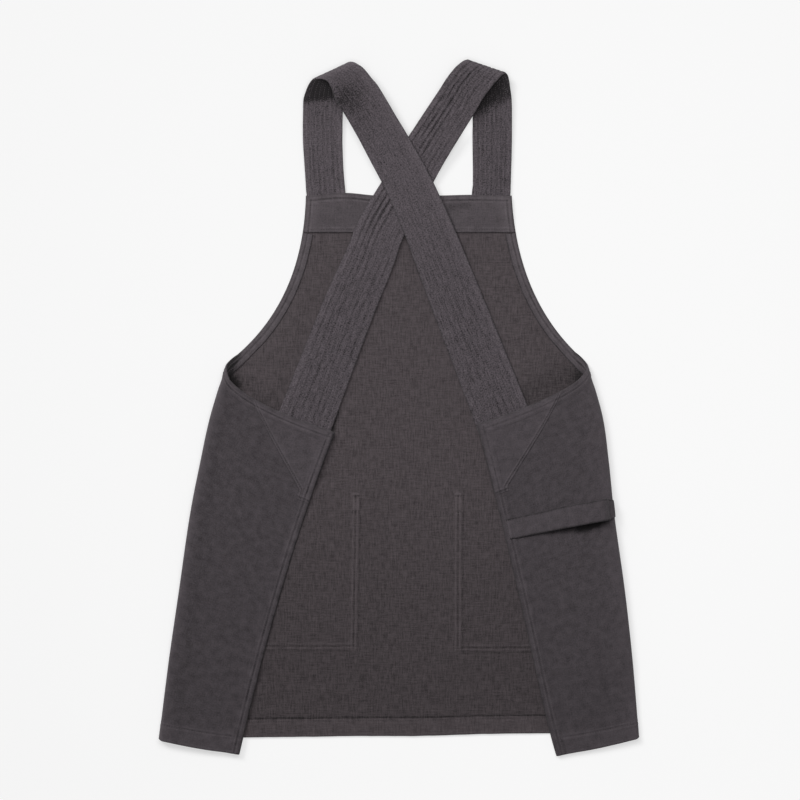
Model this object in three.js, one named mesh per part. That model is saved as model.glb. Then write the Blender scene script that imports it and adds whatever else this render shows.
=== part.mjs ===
// A cross-back work smock, laid face down with the inside of its front upwards.
// One canvas cloth is the front and, turned in at two soft side folds, both back flaps. It is made as three
// solids, which meet with a small gap where each fold starts to roll.
// Two quilted straps leave the bib, roll over at the shoulders, cross, and end under the flap corners.
// Millimetres, +Z up, lying on Z = 0, with the straps towards +Y and left meaning -X.
import * as THREE from 'three';
import { mergeVertices } from 'three/addons/utils/BufferGeometryUtils.js';

// Thickness of each cloth, and the gap kept between cloths that lie on one another
const CANVAS = 1.2;
const TURNED_IN = 1.2;
const FACING = 1.0;
const POCKET_CLOTH = 1.2;
const PATCH_CLOTH = 1.0;
const LOOP_CLOTH = 1.6;
const STRAP = 3.2;
const GAP = 0.4;
const FLAP_GAP = 0.7;

// The body's levels across its length
const HEM_Y = -449;
const ARMHOLE_Y = 64;
const BIB_TOP_Y = 290;
const BIB_BAND_Y = 240;
const HEM_TURN = 24;
const EDGE_TURN = 14;
const STEP = 1.5;

// The side folds: how deep and how high the roll is at the hem and at the armhole, and how far its ends slant
// along the fold: both ways at the hem, and at the armhole up on to the front and down on to the flap
const ROLL = {
  hemDepth: 5,
  topDepth: 10,
  hemRise: 8,
  topRise: 17,
  hemSlant: 2,
  frontSlant: 26,
  flapSlant: 8.5,
};
// The turn at which a flap's roll stops, just short of the front's edge
const ROLL_FOOT = 0.06;
// The free flap edge's height over the floor, which rises to clear the strap end under it
const FLAP_EDGE_Z = 5.2;
const FLAP_CORNER = { rise: 2.3, from: 0.7, to: 0.88 };
// How quickly the slant of the roll and the hollow of the flap's top edge fade below the armhole
const TOP_FADE = 4;
// How far each flap's hem bows down between its ends, and how quickly that fades above the hem
const HEM_BOW = 4;
const BOW_FADE = 8;

// Each side's outline on the floor: the fold, the flap's free edge, its top edge and the armhole. Then its
// pocket, its corner patch, and how its strap's crest differs from the sections below.
const SIDES = {
  left: {
    inward: 1,
    foldLow: [[-327.9, -453], [-315, -350], [-300.5, -250], [-286, -150]],
    foldHigh: [[-271.5, -75], [-257.5, -10], [-239, 52]],
    edgeHem: [-220, -475],
    edgeBend: [-160, -220],
    edgeTop: [-88, -35],
    topBend: [-205, 1],
    armholeBend: [-131, 152],
    bibTop: [-129, BIB_TOP_Y],
    pocket: { inner: -53, outer: -262, top: -119, bottom: -334 },
    patch: { topShare: 0.63, footShare: 0.1, foot: 0.805 },
    crest: { lift: -2.5, tilt: 2 },
  },
  right: {
    inward: -1,
    foldLow: [[327.9, -451], [319, -350], [308.5, -250], [294.5, -150]],
    foldHigh: [[286.5, -75], [278, -10], [259.3, 53]],
    edgeHem: [216, -477],
    edgeBend: [167, -250],
    edgeTop: [106, -24],
    topBend: [229, 21],
    armholeBend: [160, 156],
    bibTop: [154, BIB_TOP_Y],
    pocket: { inner: 77, outer: 277, top: -120, bottom: -336 },
    patch: { topShare: 0.62, footShare: 0.1, foot: 0.8 },
    crest: { lift: 3.5, tilt: -4.5 },
  },
};

// The strap's sections from the bib to the flap: where the middle of each strap is, how far its cross line
// tilts up towards the middle of the back, its width, and how high each strap lies
const STRAP_SECTIONS = [
  { place: 'sewn in the bib', y: 275, leftX: -100, rightX: 127, tilt: 0, width: 52, leftZ: 3.3, rightZ: 3.3 },
  { place: 'bib top', y: 293, leftX: -101, rightX: 127, tilt: 0, width: 52, leftZ: 3.3, rightZ: 3.3 },
  { place: 'rising', y: 325, leftX: -103, rightX: 127, tilt: 1, width: 52, leftZ: 3.7, rightZ: 3.7 },
  { place: 'rising', y: 367, leftX: -105, rightX: 127, tilt: 1, width: 53, leftZ: 5, rightZ: 5 },
  { place: 'rising', y: 405, leftX: -105, rightX: 127, tilt: 4, width: 53, leftZ: 6.5, rightZ: 6.5 },
  { place: 'roll start', y: 435, leftX: -103, rightX: 126, tilt: 14, width: 55, leftZ: 8.5, rightZ: 8.5 },
  { place: 'roll crest', y: 463, leftX: -93, rightX: 121, tilt: 24, width: 55, leftZ: 15.5, rightZ: 15.5 },
  { place: 'roll end', y: 455, leftX: -77.5, rightX: 106, tilt: 27, width: 57, leftZ: 22, rightZ: 22 },
  { place: 'falling', y: 436, leftX: -62.5, rightX: 90, tilt: 30, width: 57, leftZ: 22.5, rightZ: 22 },
  { place: 'falling', y: 418, leftX: -49.5, rightX: 79, tilt: 31, width: 58, leftZ: 21.5, rightZ: 19.5 },
  { place: 'crossing', y: 351, leftX: -12, rightX: 36, tilt: 29, width: 61, leftZ: 15, rightZ: 10 },
  { place: 'crossing', y: 303, leftX: 14, rightX: 9, tilt: 26, width: 63, leftZ: 12, rightZ: 6.2 },
  { place: 'crossing', y: 247, leftX: 39, rightX: -23, tilt: 24, width: 66, leftZ: 9.2, rightZ: 5.2 },
  { place: 'on the front', y: 199, leftX: 58, rightX: -42, tilt: 22, width: 69, leftZ: 5.9, rightZ: 3.7 },
  { place: 'on the front', y: 136, leftX: 83, rightX: -69, tilt: 20, width: 72, leftZ: 3.5, rightZ: 3.5 },
  { place: 'flap edge', y: -9, leftX: 140, rightX: -125, tilt: 21, width: 76, leftZ: 3.5, rightZ: 3.5 },
  { place: 'under the flap', y: -34, leftX: 149, rightX: -135, tilt: 21, width: 76, leftZ: 3.5, rightZ: 3.5 },
];
const CREST_STATION = 6;
const CREST_SPREAD = 2;
const STRAP_STEPS = 40;
const QUILT_ROWS = 8;
const QUILT_DEPTH = 0.5;
const QUILT_MARGIN = 0.13;

// The top facing rises over the strap ends sewn beneath it, and falls back over a short ramp
const STRAP_END = { y: 266, leftInner: -72, rightInner: 98, ramp: 12 };
const FACING_INSET = 0.8;
// The armhole strip's width, and the shares of the armhole where it starts and where it meets the top facing
const ARMHOLE_STRIP = { width: 13, from: 0.02, to: 0.765 };

// The tool loop across the right flap and part of its fold, in shares of the flap's length and its own
const LOOP = {
  width: 28,
  edgeLevel: 0.678,
  foldLevel: 0.618,
  foldReach: 1.35,
  rise: 9,
  sewnEnd: 0.08,
  crestFrom: 0.6,
  crestTo: 0.7,
};

// How far past a pocket the front stays lifted, and the ramp over which it falls to the floor
const POCKET_MARGIN = 11;
const POCKET_CLEAR = 4;
const POCKET_RAMP = 16;
// How far a pocket's lower outer corner reaches past its upper one, as a share of the pocket's width
const POCKET_LEAN = 0.13;

const CANVAS_COLOUR = 0x484445;
const STRAP_COLOUR = 0x504b4e;
const ROUGHNESS = 0.92;

const mix = THREE.MathUtils.lerp;
const smooth = THREE.MathUtils.smoothstep;

// Values evenly spread between two limits, both included
function spread(from, to, steps) {
  return Array.from({ length: steps + 1 }, (_, i) => mix(from, to, i / steps));
}

function bend(...points) {
  return new THREE.QuadraticBezierCurve(...points.map((p) => new THREE.Vector2(...p)));
}

// How far a place lies within a pocket's stretch of the front, from 0 outside to 1 over it
function overPocket(side, x, y) {
  const { inner, top, bottom } = side.pocket;
  const past = (x - inner) * side.inward - POCKET_MARGIN;
  const beyond = Math.max(past, y - top - POCKET_MARGIN, bottom - POCKET_MARGIN - y);
  return 1 - smooth(beyond, 0, POCKET_RAMP);
}

// The height of the middle of the front cloth, which lies on the floor and rises over the pockets
function frontHeight(x, y) {
  const lift = Math.max(overPocket(SIDES.left, x, y), overPocket(SIDES.right, x, y));
  return CANVAS / 2 + (POCKET_CLOTH + GAP) * lift;
}

// The soft roll of a side fold, from turn 0 on the front to turn 1 on the flap, at a share of its length
function rollPoint(side, turn, along) {
  const fold = side.fold.getPointAt(along);
  const up = side.fold.getTangentAt(along);
  const inward = new THREE.Vector2(up.y, -up.x).multiplyScalar(side.inward);
  const depth = mix(ROLL.hemDepth, ROLL.topDepth, along);
  const top = along ** TOP_FADE;
  const lean = mix(ROLL.hemSlant, (ROLL.frontSlant + ROLL.flapSlant) / 2, top);
  const skew = mix(0, (ROLL.frontSlant - ROLL.flapSlant) / 2, top);
  const facing = Math.cos(turn * Math.PI);
  const start = fold.clone().addScaledVector(inward, depth).addScaledVector(up, lean + skew);
  const flat = fold
    .clone()
    .addScaledVector(inward, depth * (1 - Math.sin(turn * Math.PI)))
    .addScaledVector(up, lean * facing + skew * facing ** 2);
  const rise = mix(ROLL.hemRise, ROLL.topRise, along) * (1 - Math.cos(turn * Math.PI)) / 2;
  return new THREE.Vector3(flat.x, flat.y, frontHeight(start.x, start.y) + rise);
}

// The flap from share 0 at its free edge to share 1 where the roll of the fold starts
function flapPoint(side, share, along) {
  const edge = side.edge.getPointAt(along);
  const rollEnd = rollPoint(side, 1, along);
  const hollow = side.topEdge.getPoint(share).sub(side.topChord.getPoint(share));
  const flat = new THREE.Vector2(mix(edge.x, rollEnd.x, share), mix(edge.y, rollEnd.y, share));
  flat.addScaledVector(hollow, along ** TOP_FADE);
  flat.y -= HEM_BOW * Math.sin(share * Math.PI) * (1 - along) ** BOW_FADE;
  const edgeZ = FLAP_EDGE_Z + FLAP_CORNER.rise * smooth(along, FLAP_CORNER.from, FLAP_CORNER.to);
  return new THREE.Vector3(flat.x, flat.y, mix(edgeZ, rollEnd.z, smooth(share, 0, 1)));
}

// The flap and its roll in one: reach 0 at the free edge, 1 at the roll's start, 2 on the front
function sidePoint(side, reach, along) {
  return reach <= 1 ? flapPoint(side, reach, along) : rollPoint(side, 2 - reach, along);
}

for (const side of Object.values(SIDES)) {
  side.fold = new THREE.SplineCurve(
    [...side.foldLow, ...side.foldHigh].map((p) => new THREE.Vector2(...p)),
  );
  side.edge = bend(side.edgeHem, side.edgeBend, side.edgeTop);
  const rollStart = rollPoint(side, 0, 1);
  const rollEnd = rollPoint(side, 1, 1);
  side.armhole = bend([rollStart.x, rollStart.y], side.armholeBend, side.bibTop);
  side.topEdge = bend(side.edgeTop, side.topBend, [rollEnd.x, rollEnd.y]);
  side.topChord = new THREE.LineCurve(side.topEdge.v0, side.topEdge.v2);
}

// A bent grid of cloth. place(u, v) gives a point with the cloth's half thickness above and below it.
function patch(us, vs, place) {
  const grid = new THREE.PlaneGeometry(1, 1, us.length - 1, vs.length - 1);
  const walls = new Float32Array(us.length * vs.length * 2);
  for (let i = 0; i < us.length * vs.length; i += 1) {
    const u = us[i % us.length];
    const v = vs[vs.length - 1 - Math.floor(i / us.length)];
    const { point, above, below } = place(u, v);
    grid.attributes.position.setXYZ(i, point.x, point.y, point.z);
    walls.set([above, below], i * 2);
  }
  grid.setAttribute('walls', new THREE.BufferAttribute(walls, 2));
  grid.deleteAttribute('normal');
  grid.deleteAttribute('uv');
  return grid;
}

// One closed solid from a patch: both faces of the cloth, and a wall along each open edge
function thicken(grid) {
  const sheet = mergeVertices(grid, 1e-2);
  sheet.computeVertexNormals();
  const { position, normal, walls } = sheet.attributes;
  const count = position.count;
  const points = new Float32Array(count * 6);
  const point = new THREE.Vector3();
  const out = new THREE.Vector3();
  for (let i = 0; i < count; i += 1) {
    out.fromBufferAttribute(normal, i);
    point.fromBufferAttribute(position, i).addScaledVector(out, walls.getX(i));
    point.toArray(points, i * 3);
    point.fromBufferAttribute(position, i).addScaledVector(out, -walls.getY(i));
    point.toArray(points, (count + i) * 3);
  }
  const faces = [];
  const openEdges = new Map();
  const corners = sheet.index.array;
  for (let i = 0; i < corners.length; i += 3) {
    const [a, b, c] = corners.subarray(i, i + 3);
    faces.push(a, b, c, count + c, count + b, count + a);
    for (const [from, to] of [[a, b], [b, c], [c, a]]) {
      if (!openEdges.delete(`${to} ${from}`)) openEdges.set(`${from} ${to}`, [from, to]);
    }
  }
  for (const [from, to] of openEdges.values()) {
    faces.push(to, from, count + from, to, count + from, count + to);
  }
  const solid = new THREE.BufferGeometry();
  solid.setAttribute('position', new THREE.BufferAttribute(points, 3));
  solid.setIndex(faces);
  solid.computeVertexNormals();
  return solid;
}

// A cloth of even thickness, lifted off the surface that place(u, v) follows
function layer(us, vs, thickness, place) {
  const half = thickness / 2;
  return thicken(patch(us, vs, (u, v) => ({ point: place(u, v), above: half, below: half })));
}

// The levels of the body's rows below the armhole, as shares of its length
function bodyLevels() {
  const length = ARMHOLE_Y - HEM_Y;
  const level = (y) => (y - HEM_Y) / length;
  const pockets = [SIDES.left.pocket, SIDES.right.pocket];
  const low = level(Math.min(...pockets.map(({ bottom }) => bottom)) - POCKET_CLEAR);
  const high = level(Math.max(...pockets.map(({ top }) => top)) + POCKET_CLEAR);
  const ramp = POCKET_RAMP / length;
  const turn = EDGE_TURN / length;
  return [
    ...[0, HEM_TURN / length, (HEM_TURN + STEP) / length, low - ramp, low],
    ...spread(low, high, 4).slice(1),
    ...spread(high + ramp, 1 - turn - STEP / length, 4),
    ...[1 - turn, 1],
  ];
}

function hemWall(along) {
  return along <= HEM_TURN / (ARMHOLE_Y - HEM_Y) + 1e-6 ? TURNED_IN : 0;
}

// The front from the hem to the bib's top. Its columns are upright near the middle and lean out to its sides.
function frontPatch(levels) {
  const left = SIDES.left.pocket.inner + POCKET_MARGIN;
  const right = SIDES.right.pocket.inner - POCKET_MARGIN;
  const core = [left, left + POCKET_RAMP, ...spread(left + 34, right - 34, 2), right - POCKET_RAMP, right];
  const outward = [1, 0.8, 0.6, 0.4, 0.2];
  const columns = [
    ...outward.map((reach) => ({ side: SIDES.left, x: left, reach })),
    ...core.map((x) => ({ x, reach: 0 })),
    ...outward.toReversed().map((reach) => ({ side: SIDES.right, x: right, reach })),
  ];
  const rows = [
    ...levels.map((along) => ({
      along,
      y: mix(HEM_Y, ARMHOLE_Y, along),
      end: (side) => rollPoint(side, 0, along),
    })),
    ...spread(0, 1, 8).slice(1).map((rise) => ({
      along: 1,
      y: mix(ARMHOLE_Y, BIB_TOP_Y, rise),
      end: (side) => side.armhole.getPointAt(rise),
    })),
  ];
  return patch(columns, rows, ({ side, x, reach }, { along, y, end }) => {
    const far = side ? end(side) : { x, y };
    const point = new THREE.Vector3(mix(x, far.x, reach), mix(y, far.y, reach ** 2));
    point.z = reach === 1 && far.z ? far.z : frontHeight(point.x, point.y);
    return { point, above: CANVAS / 2 + hemWall(along), below: CANVAS / 2 };
  });
}

// One flap with its roll. Its free edge, top edge and hem are turned in, so they are thicker on the inside.
function flapPatch(side, levels) {
  const inFromEdge = [0, EDGE_TURN, EDGE_TURN + STEP];
  const shares = [0.33, 0.5, 0.67, 0.83];
  const rolled = spread(1, 2 - ROLL_FOOT, 7);
  const columns = [
    ...inFromEdge.map((inset) => ({ inset })),
    ...shares.map((reach) => ({ reach })),
    ...rolled.map((reach) => ({ reach })),
  ];
  const topTurn = 1 - EDGE_TURN / (ARMHOLE_Y - HEM_Y) - 1e-6;
  const ordered = side.inward > 0 ? columns : columns.toReversed();
  return patch(ordered, levels, ({ inset, reach }, along) => {
    const edge = side.edge.getPointAt(along);
    const width = edge.distanceTo(rollPoint(side, 1, along));
    const turned = inset <= EDGE_TURN || (reach ?? 0) <= 1 && along >= topTurn;
    return {
      point: sidePoint(side, reach ?? inset / width, along),
      above: CANVAS / 2 + Math.max(turned ? TURNED_IN : 0, hemWall(along)),
      below: CANVAS / 2,
    };
  });
}

function topFacing() {
  const { y: endY, leftInner, rightInner, ramp } = STRAP_END;
  const left = SIDES.left.bibTop[0] + FACING_INSET;
  const right = SIDES.right.bibTop[0] - FACING_INSET;
  const columns = [
    ...spread(left, leftInner, 2),
    ...spread(leftInner + ramp, rightInner - ramp, 4),
    ...spread(rightInner, right, 2),
  ];
  const rows = [BIB_BAND_Y, endY - ramp, endY, BIB_TOP_Y - FACING_INSET];
  const base = CANVAS + GAP + FACING / 2;
  return layer(columns, rows, FACING, (x, y) => {
    const overEnd = 1 - smooth(Math.max(Math.min(x - leftInner, rightInner - x), endY - y), 0, ramp);
    return new THREE.Vector3(x, y, base + (STRAP + GAP) * overEnd);
  });
}

// The strip inside an armhole's edge, from the fold up to the top facing
function armholeFacing(side) {
  const { width, from, to } = ARMHOLE_STRIP;
  const insets = [FACING_INSET, width];
  const across = side.inward > 0 ? insets : insets.toReversed();
  return layer(across, spread(from, to, 10), FACING, (inset, along) => {
    const up = side.armhole.getTangentAt(along);
    const inward = new THREE.Vector2(up.y, -up.x).multiplyScalar(side.inward * inset);
    const { x, y } = side.armhole.getPointAt(along).add(inward);
    return new THREE.Vector3(x, y, frontHeight(x, y) + CANVAS / 2 + GAP + FACING / 2);
  });
}

// A smooth curve of one column of the strap's sections
function sectionCurve(column) {
  const at = STRAP_SECTIONS.map((_, i) => i);
  const values = STRAP_SECTIONS.map((section) => section[column]);
  const curve = new THREE.CubicInterpolant(at, values, 1);
  return (station) => curve.evaluate(station)[0];
}

// A quilted strap: ribs between rows of stitching, on both faces
function strap(side, name) {
  const [x, y, z] = [`${name}X`, 'y', `${name}Z`].map(sectionCurve);
  const [tilt, width] = ['tilt', 'width'].map(sectionCurve);
  const stitched = spread(QUILT_MARGIN, 1 - QUILT_MARGIN, QUILT_ROWS - 1);
  const rib = (stitched[1] - stitched[0]) / 2;
  const columns = [
    { across: 0, dip: QUILT_DEPTH },
    { across: QUILT_MARGIN / 2, dip: 0 },
    ...stitched.map((across) => ({ across, dip: QUILT_DEPTH })),
    ...stitched.slice(1).map((across) => ({ across: across - rib, dip: 0 })),
    { across: 1 - QUILT_MARGIN / 2, dip: 0 },
    { across: 1, dip: QUILT_DEPTH },
  ].sort((a, b) => a.across - b.across);
  const stations = spread(0, STRAP_SECTIONS.length - 1, STRAP_STEPS);
  return thicken(patch(columns, stations, ({ across, dip }, station) => {
    const crest = 1 - smooth(Math.abs(station - CREST_STATION), 0, CREST_SPREAD);
    const slope = THREE.MathUtils.degToRad(tilt(station) + side.crest.tilt * crest) * side.inward;
    const offset = (across - 0.5) * width(station);
    const point = new THREE.Vector3(
      x(station) + offset * Math.cos(slope),
      y(station) + side.crest.lift * crest + offset * Math.sin(slope),
      z(station),
    );
    return { point, above: STRAP / 2 - dip, below: STRAP / 2 - dip };
  }));
}

// A point lifted off the flap's outer face, square to the cloth
function overFlap(side, reach, along, lift) {
  const small = 1e-3;
  const here = sidePoint(side, reach, along);
  const nearer = sidePoint(side, Math.max(reach - small, 0), along);
  const across = sidePoint(side, reach + small, along).sub(nearer);
  const lower = sidePoint(side, reach, along - small);
  const up = sidePoint(side, reach, Math.min(along + small, 1)).sub(lower);
  const out = up.cross(across).multiplyScalar(side.inward).normalize();
  return here.addScaledVector(out, lift);
}

// The triangular patch on a flap's top corner, blunt at its foot
function cornerPatch(side) {
  const { topShare, footShare, foot } = side.patch;
  const topLevel = 0.998;
  const across = side.inward > 0 ? [1, 0.66, 0.33, 0.01] : [0.01, 0.33, 0.66, 1];
  const lift = CANVAS / 2 + FLAP_GAP + PATCH_CLOTH / 2;
  return layer(across, spread(foot, topLevel, 5), PATCH_CLOTH, (share, along) => {
    const reach = share * mix(footShare, topShare, (along - foot) / (topLevel - foot));
    return overFlap(side, reach, along, lift);
  });
}

// The tool loop: sewn down at both ends and standing proud between them, most towards the fold
function toolLoop() {
  const side = SIDES.right;
  const { width, edgeLevel, foldLevel, foldReach, rise, sewnEnd, crestFrom, crestTo } = LOOP;
  const halfLevel = width / 2 / (ARMHOLE_Y - HEM_Y);
  const reaches = [1, 1 - sewnEnd, ...spread(0.85, 0.15, 7), sewnEnd, 0.01];
  const lift = CANVAS / 2 + FLAP_GAP + LOOP_CLOTH / 2;
  return layer(reaches, [-1, 0, 1], LOOP_CLOTH, (share, part) => {
    const along = mix(edgeLevel, foldLevel, share) + part * halfLevel;
    const proud = smooth(share, sewnEnd, crestFrom) * (1 - smooth(share, crestTo, 1 - sewnEnd));
    return overFlap(side, share * foldReach, along, lift + rise * proud);
  });
}

// A pocket's patch of cloth, flat under the front
function pocket(side) {
  const { inner, outer, top, bottom } = side.pocket;
  const lean = (outer - inner) * POCKET_LEAN;
  const columns = side.inward > 0 ? [1, 0] : [0, 1];
  return layer(columns, [bottom, top], POCKET_CLOTH, (share, y) => {
    const low = share * (top - y) / (top - bottom);
    return new THREE.Vector3(mix(inner, outer, share) + low * lean, y, POCKET_CLOTH / 2);
  });
}

const canvas = new THREE.MeshStandardMaterial({ color: CANVAS_COLOUR, roughness: ROUGHNESS, metalness: 0 });
const quilted = new THREE.MeshStandardMaterial({ color: STRAP_COLOUR, roughness: ROUGHNESS, metalness: 0 });

const smock = new THREE.Group();

function add(name, geometry, material) {
  const mesh = new THREE.Mesh(geometry, material);
  mesh.name = name;
  smock.add(mesh);
}

const levels = bodyLevels();
add('front_panel', thicken(frontPatch(levels)), canvas);
add('top_facing', topFacing(), canvas);
for (const [name, side] of Object.entries(SIDES)) {
  add(`${name}_flap`, thicken(flapPatch(side, levels)), canvas);
  add(`${name}_armhole_facing`, armholeFacing(side), canvas);
  add(`${name}_strap`, strap(side, name), quilted);
  add(`${name}_corner_patch`, cornerPatch(side), canvas);
  add(`${name}_pocket`, pocket(side), canvas);
}
add('tool_loop', toolLoop(), canvas);

// The origin is on the floor at the middle of the smock's outline
const box = new THREE.Box3().setFromObject(smock);
const middle = box.getCenter(new THREE.Vector3());
smock.children.forEach((mesh) => mesh.position.set(-middle.x, -middle.y, -box.min.z));

export default smock;
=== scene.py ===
"""A cross-back work smock laid face down on a pale floor: its cloth pieces, seams and a soft studio light.

Shapes are worked out in millimetres, in the solids' own frame, and become metres when a mesh is made.
"""

import math

import bpy
import numpy as np
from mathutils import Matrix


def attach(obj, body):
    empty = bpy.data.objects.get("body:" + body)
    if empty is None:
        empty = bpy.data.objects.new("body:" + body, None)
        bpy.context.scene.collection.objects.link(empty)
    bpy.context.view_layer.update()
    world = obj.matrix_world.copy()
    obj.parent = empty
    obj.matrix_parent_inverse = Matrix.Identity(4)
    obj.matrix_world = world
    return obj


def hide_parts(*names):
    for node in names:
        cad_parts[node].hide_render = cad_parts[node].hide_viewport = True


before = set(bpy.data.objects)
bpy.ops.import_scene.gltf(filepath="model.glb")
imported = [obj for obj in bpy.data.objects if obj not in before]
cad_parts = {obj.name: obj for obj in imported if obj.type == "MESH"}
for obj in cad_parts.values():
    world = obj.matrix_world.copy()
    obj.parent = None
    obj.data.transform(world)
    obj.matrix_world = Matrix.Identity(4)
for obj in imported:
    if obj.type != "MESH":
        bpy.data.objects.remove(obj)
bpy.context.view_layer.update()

MM = 0.001
TINY = 1e-9
BEND_POINTS = 201

# Cloth thicknesses and the gaps between cloths, as in the solids
CANVAS = 1.2
TURNED_IN = 1.2
FACING = 1.0
POCKET_CLOTH = 1.2
PATCH_LIFT = {"gap": 0.3, "thick": 0.7}
LOOP_CLOTH = 1.6
STRAP = 3.2
GAP = 0.4
FLAP_GAP = 0.7
ROUNDNESS = 0.8

# The body's levels and its turned edges
HEM_Y = -448.4
ARMHOLE_Y = 64
BIB_TOP_Y = 290
BIB_BAND_Y = 240
LENGTH = ARMHOLE_Y - HEM_Y
HEM_TURN = {"front": 23.4, "flap": 24.6}
HEM_ROW = {"front": HEM_TURN["front"] - 3, "flap": HEM_TURN["flap"] - 1.5}
HEM_LEAN = 1.9
HEM_LINE = ((-204, -120, -60, 20, 63, 104, 145, 186), (-1.6, -1.5, -0.5, -0.6, 0.4, 2.0, 2.8, 3.3))
HEM_LINE_FADE = 90
HEM_LINE_ENDS = (0.7, 1)
BIB_CENTRE = 12
BIB_LIFT = {"left": 3.5, "right": 0.9, "rise": (40, 85), "fall": (95, 138)}
EDGE_TURN = 14
EDGE_SOFT = 1.6
EDGE_ROLL = 3.2
EDGE_STEPS = 12

# The rolled side folds at the hem and at the armhole, and the flap's height over the front
ROLL = {"hem_depth": 5, "top_depth": 10, "hem_rise": 8, "top_rise": 17}
HEM_SLANT = 2
ROLL_BOW = 0.58
FLAP_EDGE_Z = 5.2
FLAP_CORNER = {"rise": 2.3, "low": 0.7, "high": 0.88}
TOP_FADE = 4
HEM_BOW = 1.3
BOW_SHARE = (0.05, 0.45)
BOW_FADE = 8
CORNER_FADE = 11

# Each side's outline on the floor, its pocket and corner patch, and its painted light and shade
LEFT = {
    "inward": 1,
    "fold": [
        (-327.9, -453), (-315, -350), (-300.5, -250), (-286, -150), (-271.5, -75), (-257.2, -10),
        (-236.2, 56.5),
    ],
    "edge": [(-219.3, -474), (-161.5, -220), (-88.6, -35)],
    "corner_out": 0,
    "slant": {"front": 20, "flap": 17},
    "crease_shadows": [
        ((-240, 58), (-224, 30), 7, 1.8),
        ((-230, 40), (-150, -8), 12, 0.25),
        ((-91.5, -33), (-84.5, -6), 3, 1.3),
    ],
    "fold_light": {"near": (0.95, 5.2), "wide": (-0.2, 22, 9)},
    "edge_shade": {"rolled": 0.45, "rim": 2.4, "furrow": 0.68},
    "strip_shade": 1.5,
    "hem_lift": 3.5,
    "top_bend": (-205, 3),
    "armhole_bend": (-130.5, 151),
    "bib_top": (-127.1, BIB_TOP_Y),
    "pocket": {"inner": -53, "outer": -262, "top": -119, "bottom": -334},
    "patch": {"top": 0.63, "foot_width": 0.1, "bend": 0.805, "foot": 0.778},
    "crest": {"lift": -2.5, "tilt": 0.5},
    "curl": 7,
    "shoulder": {
        "dark_from": (4.3, 4.35), "ramp": 0.45, "dark": (1.45, 2.5), "light": 0.8, "past": 1.15, "up": 0.15
    },
    "wider": (
        (0, 1, 2.1, 2.9, 3.3, 4.2, 5.2, 7.6, 8.8, 9.8, 10.4, 11.5),
        (2.4, 2.2, 1, 1, 1.5, 2.2, 0, 0, -1.8, 0.6, 0.8, 0),
    ),
    "margin_light": ((0, 5, 11), (0.28, 0.28, 0), (0.24, 0.24, 0.24)),
    "strong_ribs": (1, 1),
}
RIGHT = {
    "inward": -1,
    "fold": [
        (327.9, -451), (319.6, -350), (308.5, -250), (294.5, -150), (286.7, -75), (277.6, -10),
        (257.6, 56.5),
    ],
    "edge": [(212, -476.2), (167, -250), (108, -24)],
    "corner_out": 4.4,
    "slant": {"front": 23, "flap": 11},
    "crease_shadows": [((256, 58), (246, 40), 8, 0.9), ((254, 56), (165, 12), 18, 0.45)],
    "fold_light": {"near": (1.0, 3.0), "wide": (0.3, 0, 28)},
    "edge_shade": {"rolled": 0.15, "rim": 0.9, "furrow": 0.4},
    "strip_shade": 0.25,
    "hem_lift": 0.5,
    "top_bend": (232, 17.5),
    "armhole_bend": (161, 155),
    "bib_top": (154, BIB_TOP_Y),
    "pocket": {"inner": 77, "outer": 277, "top": -120, "bottom": -336},
    "patch": {"top": 0.62, "foot_width": 0.1, "bend": 0.8, "foot": 0.787},
    "crest": {"lift": 3.1, "tilt": -5.5},
    "curl": 0,
    "shoulder": {
        "dark_from": (3.5, 4.35), "ramp": 0.65, "dark": (1.8, 1.3), "light": 0.5, "past": 0.15, "up": 0
    },
    "wider": ((0, 0.9, 1.5, 2.6, 4.2, 5.2), (-1.9, -1.9, 0.3, 1.2, 1.2, 0)),
    "margin_light": ((0, 5, 11), (0.12, 0.15, 0.24), (0.12, 0.1, 0)),
    "strong_ribs": (2.2, 0.8),
}
POCKET_MARGIN = 11
POCKET_RAMP = 16
POCKET_LEAN = 0.13
POCKET_TURN = 22
POCKET_ROWS = (2.5, 9)
POCKET_TOP_ROW = POCKET_TURN - 2
POCKET_GRID = 90
POCKET_RELIEF = {"thin": 0.3, "turned": 0.2, "seam": 0.3, "light": 0.1}

# The straps' sections from the bib to the flap: level, middle of each strap, tilt of the cross line,
# width and heights
STRAP_COLUMNS = ("y", "left_x", "right_x", "tilt", "width", "left_z", "right_z")
STRAP_SECTIONS = [
    (275, -100, 127, 0, 52, 3.3, 3.3),
    (293, -101, 127, 0, 52, 3.3, 3.3),
    (325, -103, 127, 1, 52, 3.7, 3.7),
    (367, -105, 127, 1, 53, 5, 5),
    (405, -105, 127, 4, 53, 6.5, 6.5),
    (435, -103, 126, 14, 55, 8.5, 8.5),
    (463, -93, 121, 24, 55, 15.5, 15.5),
    (455, -77.5, 106, 27, 57, 22, 22),
    (436, -62.5, 90, 30, 57, 22.5, 22),
    (418, -49.5, 79, 31, 58, 21.5, 19.5),
    (351, -12, 36, 29, 61, 15, 10),
    (303, 14, 9, 26, 63, 12, 6.2),
    (247, 39, -23, 24, 66, 9.2, 5.2),
    (199, 58, -42, 22, 69, 5.9, 3.7),
    (136, 83, -69, 20, 72, 3.5, 3.5),
    (-9, 140, -125, 21, 76, 3.5, 3.5),
    (-34, 149, -135, 21, 76, 3.5, 3.5),
]
STRAP_GRID = {"step": 2.3, "columns": 85, "fine": 3000, "seam_ends": 3}
STRAP_SEED = {"left": 60, "right": 70}
STRAP_RIM = 2.4
STRAP_CRINKLE = {"front": 0.22, "back": 0.2, "fine": 0.7}
STRAP_SHADING = {"pillow": 0.25, "middle": 0.6, "groove": 0.75, "crinkle": 0.2}
STRAP_TUCK = {"thick": 0.55, "ends": (10, 24)}
CREST = {"station": 6, "spread": 2, "drop": 1.4}
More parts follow.
